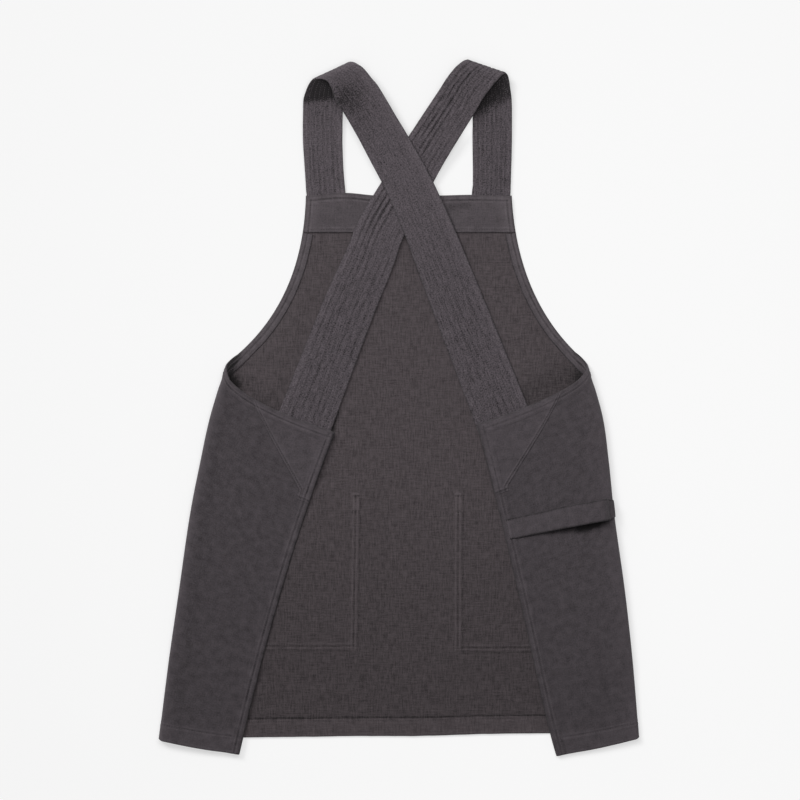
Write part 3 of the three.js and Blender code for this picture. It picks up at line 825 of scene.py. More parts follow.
def stitch_tree():
    """One stitch at every step along each seam line."""
    tree = bpy.data.node_groups.new("seam stitches", "GeometryNodeTree")
    tree.interface.new_socket("Geometry", in_out="INPUT", socket_type="NodeSocketGeometry")
    for size in ("Pitch", "Length", "Width"):
        tree.interface.new_socket(size, in_out="INPUT", socket_type="NodeSocketFloat")
    tree.interface.new_socket("Geometry", in_out="OUTPUT", socket_type="NodeSocketGeometry")
    given = node(tree, "NodeGroupInput").outputs
    spaced = node(tree, "GeometryNodeResampleCurve", {"Curve": given["Geometry"]}, mode="LENGTH")
    tree.links.new(given["Pitch"], spaced.inputs["Length"])
    tangent = node(tree, "GeometryNodeInputTangent").outputs[0]
    turned = node(tree, "FunctionNodeAlignRotationToVector", {"Vector": tangent}, axis="X")
    stitch = node(tree, "GeometryNodeMeshIcoSphere", {"Radius": 0.5, "Subdivisions": 1}).outputs[0]
    sizes = {"X": given["Length"], "Y": given["Width"], "Z": given["Width"]}
    size = node(tree, "ShaderNodeCombineXYZ", sizes).outputs[0]
    inputs = {"Points": spaced.outputs[0], "Instance": stitch, "Rotation": turned.outputs[0], "Scale": size}
    placed = node(tree, "GeometryNodeInstanceOnPoints", inputs)
    real = node(tree, "GeometryNodeRealizeInstances", {"Geometry": placed.outputs[0]})
    round_off = node(tree, "GeometryNodeSetShadeSmooth", {"Geometry": real.outputs[0]})
    coated = node(tree, "GeometryNodeSetMaterial", {"Geometry": round_off.outputs[0], "Material": THREAD})
    node(tree, "NodeGroupOutput", {"Geometry": coated.outputs[0]})
    return tree


STITCHES = stitch_tree()


def stitching(name, lines, pitch):
    """Rows of stitches along lines of points, as one plain mesh piece."""
    curve = bpy.data.curves.new(name, "CURVE")
    curve.dimensions = "3D"
    for line in lines:
        row = curve.splines.new("POLY")
        row.points.add(len(line) - 1)
        row.points.foreach_set("co", np.column_stack([line * MM, np.ones(len(line))]).ravel())
    path = bpy.data.objects.new(name + "_path", curve)
    bpy.context.scene.collection.objects.link(path)
    modifier = path.modifiers.new("stitches", "NODES")
    modifier.node_group = STITCHES
    sizes = {"Pitch": pitch, "Length": STITCH["length"] * pitch / STITCH["pitch"], "Width": STITCH["width"]}
    for item in STITCHES.interface.items_tree:
        if item.in_out == "INPUT" and item.name in sizes:
            modifier[item.identifier] = sizes[item.name] * MM
    bpy.context.view_layer.update()
    evaluated = path.evaluated_get(bpy.context.evaluated_depsgraph_get())
    mesh = bpy.data.meshes.new_from_object(evaluated)
    mesh.name = name
    path.modifiers.remove(modifier)
    bpy.data.objects.remove(path)
    bpy.data.curves.remove(curve)
    piece = put(name, mesh)
    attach(piece, "root")
    return piece


# The body: the front, with each flap and its rolled fold

def rows_between(end, *stretches):
    """Rising values up to an end, through stretches of (start, step)."""
    ends = [start for start, _ in stretches[1:]] + [end]
    parts = [
        np.linspace(low, high, max(2, round((high - low) / step) + 1))[:-1]
        for (low, step), high in zip(stretches, ends)
    ]
    return np.concatenate(parts + [[end]])


# The body's grid, closer together at its hem, at the pockets' seams and at the armholes
ROW_LEVELS = rows_between(
    ARMHOLE_Y, (HEM_Y, 1.4), (HEM_Y + 28, 7.0), (-340, 1.6), (-317, 7.0), (-196, 4.0), (-146, 1.6),
    (-114, 7.0), (ARMHOLE_Y - 17, 1.2),
)
LEVELS = (ROW_LEVELS - HEM_Y) / LENGTH
BIB_ROWS = 44
BIB_LEVELS = np.linspace(0, 1, BIB_ROWS)
CORE = rows_between(92, (-70, 1.25), (-49, 3.0), (72, 1.25))
OUTWARD = rows_between(1, (0, 0.013), (0.6, 0.033))[:0:-1]
FLAP_GRID = {
    "zone": 16, "dense": 15, "rest": 24, "roll": 15, "past_fold": 99, "seam_start": 4, "hem_at": 0.05,
}
END_COLUMNS = 6


def front_points():
    """The front's grid of points and, for each row, its level from the hem."""
    ys = np.concatenate([mix(HEM_Y, ARMHOLE_Y, LEVELS), mix(ARMHOLE_Y, BIB_TOP_Y, BIB_LEVELS[1:])])
    low = (1 - smooth(ys, HEM_Y, HEM_Y + HEM_LINE_FADE))[:, None]
    blocks = []
    for side, x in ((SIDES["left"], CORE[0]), (SIDES["right"], CORE[-1])):
        rolled = side.roll(0.0, LEVELS)
        rising = side.armhole.at(BIB_LEVELS[1:])
        ends = np.concatenate([rolled[:, :2], rising])
        reach = OUTWARD if side.sign > 0 else OUTWARD[::-1]
        xs = mix(x, ends[:, :1], reach)
        rows = mix(ys[:, None], ends[:, 1:], reach**2)
        rows = rows + np.interp(xs, *HEM_LINE) * low * (1 - smooth(reach, *HEM_LINE_ENDS))
        blocks.append(np.stack([xs, rows], axis=-1))
    rows = ys[:, None] + np.interp(CORE, *HEM_LINE) * low
    core = np.stack(np.broadcast_arrays(CORE[None, :], rows), axis=-1)
    flat = np.concatenate([blocks[0], core, blocks[1]], axis=1)
    x, y = flat[..., 0], flat[..., 1]
    y += bib_lift(x) * smooth(y, BIB_BAND_Y, BIB_TOP_Y)
    z = front_height(x, y) + front_swell(x, y, np.minimum(x - x[:, :1], x[:, -1:] - x))
    return np.dstack([flat, z]), ys


def pocket_relief(x, y):
    """The relief of the pockets' stitching on the front, and how light the cloth is between its rows."""
    relief = light = 0.0
    ends = POCKET_SEAM_ENDS
    for name, (outer, inner, upper, lower) in POCKET_SEAMS.items():
        side = SIDES[name]
        across = x - SEAM_LEAN[name] * (y - SEAM_MIDDLE)
        from_middle = np.abs(across - (outer + inner) / 2)
        beside = 1 - smooth((across - outer) * side.sign, *ends["beside"])
        in_height = band(y - side.pocket["top"], *ends["top"]) * smooth(y, lower - ends["bottom"], lower)
        sides = welts(across, outer, inner) * in_height
        bottom = SEAM_BOTTOM * welts(-y, -upper, -lower) * beside * smooth(from_middle, *ends["corner"])
        between = band(from_middle, TACK_SIZE["half"])
        tacks = sum(height * hump(y - level, TACK_SIZE["spread"]) for level, height in TACK_RELIEF) * between
        relief = relief + (sides + bottom) * uneven("pocket_seam", x, y) + tacks
        light = light + between * in_height * (SEWN_LIGHT["low"] + SEWN_LIGHT["high"] * (y > TACKS[1]))
    return relief, light


def front_details(points, ys):
    """How thick the front is above its middle, and where its seams are rubbed."""
    x, y = points[..., 0], points[..., 1]
    from_hem = np.broadcast_to((ys - HEM_Y)[:, None], x.shape)
    hem = band(from_hem, HEM_TURN["front"], FRONT["hem_soft"])
    pucker = ripple("hem_pucker", x + FRONT["lean"] * y, y) * hem
    relief, light = pocket_relief(x, y)
    seam = furrows(from_hem, HEM_ROW["front"]) * uneven("hem_seam", x, y) + relief
    above = CANVAS / 2 + TURNED_IN * hem + FRONT["pucker"] * pucker + FURROW_DEPTH * seam
    rub = FRONT_TONE_AND_SHADE["hem"] * hem + FRONT_TONE_AND_SHADE["pucker"] * pucker + FURROW_SHADE * seam + light
    # painted shade: the front is darker towards its hem, in place of the lamps' falloff
    rub = rub - FRONT_TONE_AND_SHADE["lower_shade"] * (1 - smooth(y, *FRONT_TONE_AND_SHADE["lower_shade_fade"]))
    # painted shade: a dark line just past the hem's turned edge
    past_hem = from_hem - HEM_TURN["front"] - FRONT_TONE_AND_SHADE["step_off"]
    rub = rub - FRONT_TONE_AND_SHADE["step"] * hump(past_hem, FRONT_TONE_AND_SHADE["step_width"])
    # painted highlight along the hem's edge
    rub = rub + HEM_RIM * hump(from_hem, HEM_RIM_WIDTH)
    # painted shade: dark crescents at the folds' tops, along the flaps' top edges and beside the left strap
    for side in SIDES.values():
        for start, end, spread, shade in side.outline["crease_shadows"]:
            rub = rub - shade * hump(from_segment(x, y, start, end), spread)
    return above, rub


def flap_grid(side):
    """One flap with its roll, from the free edge to the front: points, reach and distances from its edges."""
    along = LEVELS[:, None]
    width = side.width(LEVELS)[:, None]
    dense = np.linspace(0, FLAP_GRID["zone"], FLAP_GRID["dense"])[None, :] / width
    rest = mix(FLAP_GRID["zone"] / width, 1, np.linspace(0, 1, FLAP_GRID["rest"])[None, 1:])
    roll = np.linspace(1, 2, FLAP_GRID["roll"])[1:]
    reach = np.concatenate([dense, rest, np.broadcast_to(roll, (len(LEVELS), len(roll)))], axis=1)
    points = side.cloth(reach, along)
    swell_flap(points, reach)
    length = mix(side.edge.length, side.fold.length, np.minimum(reach, 1))
    depth = mix(ROLL["hem_depth"], ROLL["top_depth"], along)
    rolled = depth * (1 - np.sin((2 - np.maximum(reach, 1)) * math.pi))
    distances = {
        "edge": side.from_edge(reach, along) + FLAP_GRID["past_fold"] * (reach > 1),
        "hem": along * length,
        "top": (1 - along) * length,
        "fold": np.where(reach <= 1, depth + (1 - reach) * width, rolled),
    }
    return points, reach, distances


def fold_light(side, from_fold):
    """Painted light and shade along a flap's fold, where the cloth is turned up: how much lighter the flap is
    there.
    """
    light = side.outline["fold_light"]
    (near, reach), (wide, middle, spread) = light["near"], light["wide"]
    return near * np.exp(-from_fold / reach) + wide * hump(from_fold - middle, spread)


def flap_seams(side, x, y, distances):
    """Where a flap's edges are turned in, the relief of the two rows of stitching that hold them, and painted
    shade where the free edge rolls under.
    """
    edge, top = distances["edge"], distances["top"]
    turned = np.maximum(band(edge, EDGE_TURN, EDGE_SOFT), band(top, EDGE_TURN, EDGE_SOFT))
    along_edge = furrows(edge, EDGE_FURROW) * smooth(top, *SEAM_END)
    along_top = furrows(top, EDGE_FURROW) * smooth(edge, *SEAM_END)
    seam = np.where(np.abs(along_edge) > np.abs(along_top), along_edge, along_top)
    shade = side.outline["edge_shade"]
    seam = seam * shade["furrow"] * uneven("edge_seam", x, y)
    # painted shade along the free edge, where it rolls under
    seam = seam - shade["rolled"] * (1 - smooth(edge, 0, EDGE_ROLL))
    pucker = sum(
        height * ripple(name, x, y) for height, name in zip(EDGE_PUCKER, ("edge_pucker", "edge_crinkle"))
    )
    return turned, seam, pucker * turned


def loop_course(share):
    """Along the tool loop: its middle and half its width as shares of the flap's length, and its rise."""
    half = LOOP["width"] / 2 / LENGTH * mix(1, LOOP["taper"], share)
    proud = hill(share, LOOP["rising"], LOOP["falling"])
    seam = LOOP["falling"][1]
    past_seam = np.maximum(share - seam, 0) / (1 - seam)
    half = half * (1 - LOOP["end_taper"] * past_seam)
    return mix(LOOP["edge"], LOOP["fold"], share) + LOOP["end_lift"] * past_seam, half, proud


def loop_shade(points, reach):
    """Painted shade: the dark of the gap under the tool loop's lower edge, and of the hollow beside it."""
    middle, half, proud = loop_course(np.minimum(reach / LOOP["reach"], 1))
    off = (LEVELS[:, None] - middle + half) * LENGTH
    hollow = from_segment(points[..., 0], points[..., 1], *LOOP_SHADE["hollow"])
    return proud * hump(off, LOOP_SHADE["gap"]) + hump(hollow, LOOP_SHADE["hollow_width"])


def flap_details(side, points, reach, distances):
    """A flap's thickness above and below its middle, and the tone, painted light and painted shade on its two
    faces.
    """
    x, y = points[..., 0], points[..., 1]
    edge, top = distances["edge"], distances["top"]
    turned, seam, pucker = flap_seams(side, x, y, distances)
    from_hem = distances["hem"] + HEM_LEAN * np.minimum(reach, 1)
    hem = band(from_hem, HEM_TURN["flap"], EDGE_SOFT)
    hem_seam = furrows(from_hem, HEM_ROW["flap"]) * (1 - turned)
    pulled = ripple("flap_hem", x + FLAP["lean"] * y, y) * hem * (1 - turned)
    drag = ripple("flap_drag", edge - FLAP["drag_lean"] * top, top)
    drag = drag * hill(top, FLAP["drag_rise"], FLAP["drag_fall"])
    outer = 1 - smooth(reach, *FLAP["outer"])
    raised = FLAP["turned"] * np.maximum(turned, FLAP["hem"] * hem)
    raised = raised + FLAP["pucker"] * pucker + FLAP["pulled"] * pulled + FLAP["drag"] * drag
    below = CANVAS / 2 + (raised + FURROW_DEPTH * (seam + FLAP["hem_seam"] * hem_seam)) * outer
    above = CANVAS / 2 + TURNED_IN * np.maximum(turned, hem) * outer
    rub = FURROW_SHADE * (seam + FLAP_TONE["hem_seam"] * hem_seam) + FLAP_TONE["hem"] * hem * (1 - turned)
    for name, layer in (("turned", turned), ("pucker", pucker), ("pulled", pulled), ("drag", drag)):
        rub = rub + FLAP_TONE[name] * layer
    # painted light along the fold, and a painted highlight along the hem's edge
    rub = rub + fold_light(side, distances["fold"]) + HEM_RIM * hump(distances["hem"], HEM_RIM_WIDTH)
    # painted shade on the inner face of the roll near its top
    inner_painted_shade = -smooth(reach, *INNER_SHADE["reach"]) * smooth(top, *INNER_SHADE["from_top"])
    # painted shade on the free edge's rim, for its dark contact line
    inner_painted_shade = inner_painted_shade - side.outline["edge_shade"]["rim"] * hump(edge, INNER_SHADE["rim_width"])
    return above, below, rub, inner_painted_shade


def flap_cloth_uv(points, sign):
    """Thread directions on a flap, carried on from the front round the fold."""
    steps = np.linalg.norm(np.diff(points, axis=1), axis=2)
    back = np.concatenate([np.cumsum(steps[:, ::-1], axis=1)[:, ::-1], np.zeros((len(points), 1))], axis=1)
    start = points[:, -1]
    return np.stack([start[:, :1] - sign * back, np.broadcast_to(start[:, 1:2], back.shape)], axis=-1)


def front_seam_lines(face, ys):
    """Rows of stitching on the front: along its hem, and the pockets' rows with their tacks."""
    last = face.shape[1] - 1
    lines = [line_on(face, number_of(HEM_Y + HEM_ROW["front"], ys), np.linspace(0, last, SEAM_POINTS["hem"]))]
    first, thread = len(OUTWARD), TACK_SIZE["thread"]
    for name, (outer, inner, upper, lower) in POCKET_SEAMS.items():
        side = SIDES[name]
        levels = np.linspace(lower, side.pocket["top"], SEAM_POINTS["pocket"])
        for x, bottom in ((outer, lower), (inner, upper)):
            sewn = levels[levels >= bottom]
            columns = first + number_of(x + SEAM_LEAN[name] * (sewn - SEAM_MIDDLE), CORE)
            lines.append(line_on(face, number_of(sewn, ys), columns))
            end = END_COLUMNS if side.sign > 0 else last - END_COLUMNS
            columns = np.linspace(columns[0], end, SEAM_POINTS["pocket_foot"])
            lines.append(line_on(face, number_of(bottom, ys), columns))
        ends = first + number_of(np.array([min(outer, inner) - 1, max(outer, inner) + 1]), CORE)
        for tack in (TACKS[0] - thread, TACKS[0], TACKS[0] + thread, TACKS[1]):
            lines.append(line_on(face, number_of(tack, ys), np.linspace(*ends, SEAM_POINTS["tack"])))
    return lines


def flap_seam_lines(side, face, from_edge):
    """Rows of stitching along a flap's free edge, its top and its hem."""
    lines, start, last = [], FLAP_GRID["seam_start"], face.shape[1] - END_COLUMNS
    for distance in EDGE_ROWS:
        columns = [number_of(distance, line[: 2 * FLAP_GRID["dense"]]) for line in from_edge[start:]]
        lines.append(line_on(face, np.arange(start, len(LEVELS)), columns))
        level = number_of(1 - distance / side.fold.length, LEVELS)
        lines.append(line_on(face, level, np.linspace(start, last, SEAM_POINTS["flap_top"])))
    columns = np.linspace(2, last, SEAM_POINTS["flap_hem"])
    dense = FLAP_GRID["dense"] - 1
    shares = [FLAP_GRID["zone"] / side.width(FLAP_GRID["hem_at"]), 1]
    leaning = HEM_LEAN * np.interp(columns, [dense, dense + FLAP_GRID["rest"] - 1], shares)
    level = number_of((HEM_ROW["flap"] - leaning) / side.fold.length, LEVELS)
    lines.append(line_on(face, level, columns))
    return lines


def body():
    """The body panel with its seam lines."""
    cloth = Cloth()
    points, ys = front_points()
    above, rub = front_details(points, ys)
    numbers = cloth.add(points, above, CANVAS / 2, points[..., :2], rub)
    cloth.join(numbers)
    flaps = []
    for name, side in SIDES.items():
        grid, reach, distances = flap_grid(side)
        up, down, outer_tone_and_light, dimmed = flap_details(side, grid, reach, distances)
        if name == "right":
            # painted shade of the gap under the tool loop
            outer_tone_and_light = outer_tone_and_light - LOOP_SHADE["strength"] * loop_shade(grid, reach)
        shared = numbers[: len(LEVELS), 0 if side.sign > 0 else -1]
        uv = flap_cloth_uv(grid, side.sign)
        own = cloth.add(*(values[:, :-1] for values in (grid, up, down, uv, dimmed, outer_tone_and_light)))
        joined = np.concatenate([own, shared[:, None]], axis=1)
        cloth.join(joined if side.sign > 0 else joined[:, ::-1])
        flaps.append((side, joined, distances["edge"]))
    cloth.solve()
    piece = cloth.mesh("body_cloth", INSIDE, OUTSIDE)
    seams = front_seam_lines(cloth.top[numbers], ys)
    for side, flap, from_edge in flaps:
        seams += flap_seam_lines(side, cloth.bottom[flap], from_edge)
    return piece, cloth, seams


# Facings inside the bib and armholes

def top_facing():
    """The band inside the top of the bib, raised over the strap ends."""
    levels = rows_between(BIB_TOP_Y - FACING_INSET, (BIB_BAND_Y, BIB["step"]))
    left, right = (
        np.interp(levels, *side.armhole.points[:, 1::-1].T)[:, None] + FACING_INSET * side.sign
        for side in SIDES.values()
    )
    x = mix(left, right, np.linspace(0, 1, BIB["columns"]))
    level = np.broadcast_to(levels[:, None], x.shape)
    y = level + bib_lift(x) * smooth(level, BIB_BAND_Y, BIB_TOP_Y)
    inner = np.minimum(x - STRAP_END["left_inner"], STRAP_END["right_inner"] - x)
    over = 1 - smooth(np.maximum(inner, STRAP_END["y"] - y), 0, STRAP_END["ramp"])
    from_top, from_low = level.max() - level, level - level.min()
    from_side = np.minimum(x - left, right - x)
    seam = furrows(from_top, FACING_FURROW) * smooth(from_side, *BIB["seam_end"])
    low_seam = furrows(from_low, BIB["low_row"]) * smooth(from_side, *BIB["low_seam_end"])
    seam = seam + BIB["low_seam"] * low_seam
    seam = seam + furrows(from_side, BIB["side_row"]) * smooth(from_top, *BIB["seam_end"])
    seam = seam * uneven("bib_seam", x, y)
    from_edges = np.minimum(from_top - BIB["pucker_from"], from_low)
    pucker = ripple("bib_pucker", x, y) * band(from_edges, *BIB["pucker_width"])
    swell = BIB["swell"] * ripple("bib_swell", x, y)
    swell = swell + BIB["low_edge"] * band(from_low, *BIB["low_edge_width"])
    z = CANVAS + GAP + FACING / 2 + BIB["off"] + STRAP_END["lift"] * over + swell
    points = np.dstack([x, y, z])
    above = FACING / 2 + FACING_PUCKER * pucker + FURROW_DEPTH * seam
    rub = BIB_TONE_AND_SHADE["plain"] + BIB_TONE_AND_SHADE["pucker"] * pucker + FURROW_SHADE * seam
    # painted shade under the band's lower edge
    rub = rub - BIB_TONE_AND_SHADE["rim"] * hump(from_low, BIB_TONE_AND_SHADE["rim_width"])
    rub = rub + BIB_TONE_AND_SHADE["sides"] * (1 - smooth(from_side, *BIB_TONE_AND_SHADE["side_width"]))
    # painted shade in the hollow beside the right strap's end
    rub = rub - BIB_TONE_AND_SHADE["hollow"] * hump(from_segment(x, y, *BIB["hollow"]), BIB_TONE_AND_SHADE["hollow_width"])
    cloth, numbers = sheet(points, above, FACING / 2, points[..., :2], rub)
    face = cloth.top[numbers]
    rows, columns = face.shape[:2]
    seams = []
    for height in (levels[-1] - FACING_ROWS[0], levels[-1] - FACING_ROWS[1], levels[0] + BIB["low_row"]):
        across = np.linspace(1, columns - 2, SEAM_POINTS["bib"])
        seams.append(line_on(face, number_of(height, levels), across))
    for place in (left + BIB["side_row"], right - BIB["side_row"]):
        beside = np.array([number_of(value, line) for value, line in zip(place[:, 0], x)])
        seams.append(line_on(face, np.arange(rows), beside))
    return cloth.mesh("bib_facing", EDGING, EDGING), cloth, seams


def armhole_facing(name, side):
    """The strip inside an armhole's edge, which goes on round the top of the fold."""
    strip = ARMHOLE_STRIP
    inset = np.linspace(FACING_INSET, strip["width"], strip["columns"])[None, :]
    turn = np.linspace(strip["turn"], 0, strip["turn_rows"])[:, None]
    high = np.interp(BIB_BAND_Y - strip["below_band"], side.armhole.points[:, 1], side.armhole.shares)
    along = np.linspace(0, high, strip["rows"])[:, None]
    off = CANVAS / 2 + GAP + FACING / 2
    rolled = lifted(side, 2 - turn + 0 * inset, 1 - inset / strip["skew"] / side.fold.length + 0 * turn, -off)
    spread = along + 0 * inset
    flat = side.armhole.at(spread) + side.armhole.inward(spread, side.sign) * inset[..., None]
    x, y = flat[..., 0], flat[..., 1]
    straight = np.dstack([flat, front_height(x, y) + front_swell(x, y, inset) + off])
    straight = mix(rolled[-1:], straight, smooth(along, 0, strip["blend"])[..., None])
    points = np.concatenate([rolled[:-1], straight])
    inset = np.broadcast_to(inset, points.shape[:2])
    run = np.linalg.norm(np.diff(points[:, 0], axis=0), axis=1)
    length = np.broadcast_to(np.concatenate([[0], np.cumsum(run)])[:, None], inset.shape)
    seam = furrows(inset, ARMHOLE_FURROW) * uneven("strip_seam", length, inset)
    pucker = ripple("strip_pucker", length, inset)
    above = FACING / 2 + FACING_PUCKER * pucker + FURROW_DEPTH * seam
    deep = np.concatenate([np.ones_like(turn[:-1]), 1 - smooth(along, 0, strip["deep"])])
    rub = STRIP_TONE_AND_SHADE["plain"] + STRIP_TONE_AND_SHADE["pucker"] * pucker + FURROW_SHADE * seam
    # painted shade along the strip's inner edge
    rub = rub - STRIP_TONE_AND_SHADE["rim"] * hump(inset - strip["width"], STRIP_TONE_AND_SHADE["rim_width"])
    # painted shade where the strip runs deep into the fold
    rub = rub - side.outline["strip_shade"] * deep
    grids = [
        grid if side.sign > 0 else grid[:, ::-1] for grid in (points, above, np.dstack([inset, length]), rub)
    ]
    cloth, numbers = sheet(grids[0], grids[1], FACING / 2, grids[2], grids[3])
    face = cloth.top[numbers] if side.sign > 0 else cloth.top[numbers][:, ::-1]
    columns = number_of(np.array(ARMHOLE_ROWS), inset[0])
    seams = [line_on(face, np.arange(2, face.shape[0] - 1), column) for column in columns]
    return cloth.mesh(name, EDGING, EDGING), cloth, seams


# Quilted straps

def section_curve(column):
    """One column of the strap's sections as a smooth curve."""
    values = np.array([row[STRAP_COLUMNS.index(column)] for row in STRAP_SECTIONS], float)
    padded = np.concatenate([[2 * values[0] - values[1]], values, [2 * values[-1] - values[-2]]])

    def at(station):
        i = np.clip(np.floor(station).astype(int), 0, len(values) - 2)
        before, start, end, after = (padded[i + k] for k in range(4))
        return hermite(start, end, (end - before) / 2, (after - start) / 2, station - i)

    return at


def strap(name, side_name):
    """A quilted strap: padded ribs between rows of stitching, crinkled along its length."""
    side, seed = SIDES[side_name], STRAP_SEED[side_name]
    look = side.outline
    x, y, z = (section_curve(column) for column in (side_name + "_x", "y", side_name + "_z"))
    tilt, width = section_curve("tilt"), section_curve("width")
    fine = np.linspace(0, len(STRAP_SECTIONS) - 1, STRAP_GRID["fine"])
    middle = np.stack([x(fine), y(fine), z(fine)], axis=1)
    travelled = np.concatenate([[0], np.cumsum(np.linalg.norm(np.diff(middle, axis=0), axis=1))])
    length = np.arange(0, travelled[-1], STRAP_GRID["step"])
    station = np.interp(length, travelled, fine)[:, None]
    across = np.linspace(0, 1, STRAP_GRID["columns"])[None, :]
    crest = 1 - smooth(np.abs(station - CREST["station"]), 0, CREST["spread"])
    slope = np.radians(tilt(station) + look["crest"]["tilt"] * crest) * side.sign
    wider = np.interp(station, *look["wider"])
    offset = (across - 0.5) * (width(station) + np.abs(wider) - STRAP_RIM) + wider / 2
    curl = look["curl"] * (1 - smooth(np.abs(station - CURL["station"]), 0, CURL["spread"]))
    curl = curl * (1 - smooth(across, 0, CURL["across"]))
    points = np.dstack([
        x(station) + offset * np.cos(slope) + CURL["aside"] * curl,
        y(station) + offset * np.sin(slope) + (look["crest"]["lift"] - CREST["drop"]) * crest + curl,
        np.broadcast_to(z(station), offset.shape),
    ])
    reach = np.broadcast_to(length[:, None], offset.shape)
    phase, groove, pillow, depth = quilting(reach, offset, across, station, side_name)
    crinkle = ripple("strap_crinkle", reach, offset, seed)
    crinkle = crinkle + STRAP_CRINKLE["fine"] * ripple("strap_fine", reach, offset, seed)
    face = STRAP / 2 - QUILT_DEPTH * groove * depth - QUILT["pillow"] * (1 - pillow) * depth
    hidden = mix(STRAP_TUCK["thick"], 1, smooth(length[:, None], *STRAP_TUCK["ends"]))
    above = (face + STRAP_CRINKLE["front"] * crinkle * depth) * hidden
    below = (face + STRAP_CRINKLE["back"] * ripple("strap_back", reach, offset, seed) * depth) * hidden
    # painted light on the ribs and painted shade in the quilting's grooves and on the crinkles
    rub = STRAP_SHADING["pillow"] * (pillow - STRAP_SHADING["middle"]) - STRAP_SHADING["groove"] * groove
    rub = (rub + STRAP_SHADING["crinkle"] * crinkle) * depth
    rub = rub + margin_light(station, across, *look["margin_light"])
    # painted shade and light on the straps' two faces
    inner, outer = strap_shades(station, across, look["shoulder"])
    cloth, numbers = sheet(points, above, below, np.dstack([offset, reach]), rub - inner, rub + outer)
    seams, ends = [], STRAP_GRID["seam_ends"]
    for row in range(QUILT_ROWS):
        columns = np.array([number_of(row, line) for line in phase[ends:-ends]])
        for face_grid in (cloth.top[numbers], cloth.bottom[numbers]):
            seams.append(line_on(face_grid, np.arange(ends, len(length) - ends), columns))
    return cloth.mesh(name, QUILTED, QUILTED), cloth, seams


def margin_light(station, across, stations, left, right):
    """Painted light: the strap's plain margins are made lighter, as they catch more light than its quilted
    middle.
    """
    near_left, near_right = 1 - smooth(across, *LEFT_MARGIN), smooth(across, *RIGHT_MARGIN)
    return near_left * np.interp(station, stations, left) + near_right * np.interp(station, stations, right)


def strap_shades(station, across, fold):
    """Painted shade inside the shoulder's fold and painted light up to it; on the outer face, a painted
    highlight on its crest, painted shade past it and painted light at the crossing.
    """
    start = mix(*fold["dark_from"], across)
    dark = smooth(station, start, start + fold["ramp"]) * mix(*fold["dark"], across)
    (crest_at, crest_spread), (past_at, past_spread) = SHADE_AT["crest"], SHADE_AT["past"]
    past = hump(station - past_at, past_spread) * (1 - smooth(across, *SHADE_AT["past_across"]))
    crossing_at, *fade = SHADE_AT["crossing"]
    crossing = 1 - smooth(np.abs(station - crossing_at), *fade)
    inner = dark * (1 - smooth(station, *SHADE_AT["inside_ends"]))
    inner = inner - fold["up"] * (1 - smooth(station, *SHADE_AT["up"]))
    outer = fold["light"] * hump(station - crest_at, crest_spread) - fold["past"] * past
    return inner, outer + CROSSING_LIGHT * crossing


def quilting(reach, offset, across, station, side_name):
    """Padded ribs: their count across the strap, the rows' grooves, the ribs' roundness and their depth."""
    seed = STRAP_SEED[side_name]
    pitch = (1 - 2 * QUILT_MARGIN) / (QUILT_ROWS - 1)
    phase = (across - QUILT_MARGIN) / pitch + QUILT["wander"] * ripple("strap_wander", reach, offset, seed)
    nearest = np.clip(np.round(phase), 0, QUILT_ROWS - 1)
    spacing = pitch * np.ptp(offset, axis=1, keepdims=True)
    groove = hump((phase - nearest) * spacing, QUILT["groove"])
    inside = (phase > 0) & (phase < QUILT_ROWS - 1)
    from_edge = np.clip(np.minimum(across, 1 - across) / QUILT_MARGIN, 0, 1)
    pillow = np.where(inside, np.abs(np.sin(math.pi * phase)), np.sin(math.pi * from_edge))
    middle, spread = QUILT["depth"]
    depth = middle + spread * ripple("strap_depth", reach, offset, seed)
    depth = np.interp(station, *RIB_DEPTHS[side_name]) * depth
    strong = mix(*SIDES[side_name].outline["strong_ribs"], smooth(across, *STRONG_RIBS["across"]))
    depth = depth * mix(1, strong, hill(station, STRONG_RIBS["rise"], STRONG_RIBS["fall"]))
    return phase, groove, pillow, np.clip(depth, *QUILT["limits"])


# Pieces on the flaps

def lifted(side, reach, along, lift):
    """Points lifted square off a flap's outer face."""
    small = 1e-3
    here = side.cloth(reach, along)
    across = side.cloth(reach + small, along) - side.cloth(np.maximum(reach - small, 0), along)
    up = side.cloth(reach, np.minimum(along + small, 1)) - side.cloth(reach, along - small)
    out = np.cross(up, across) * side.sign
    out /= np.linalg.norm(out, axis=-1, keepdims=True)
    return here + out * np.asarray(lift)[..., None]


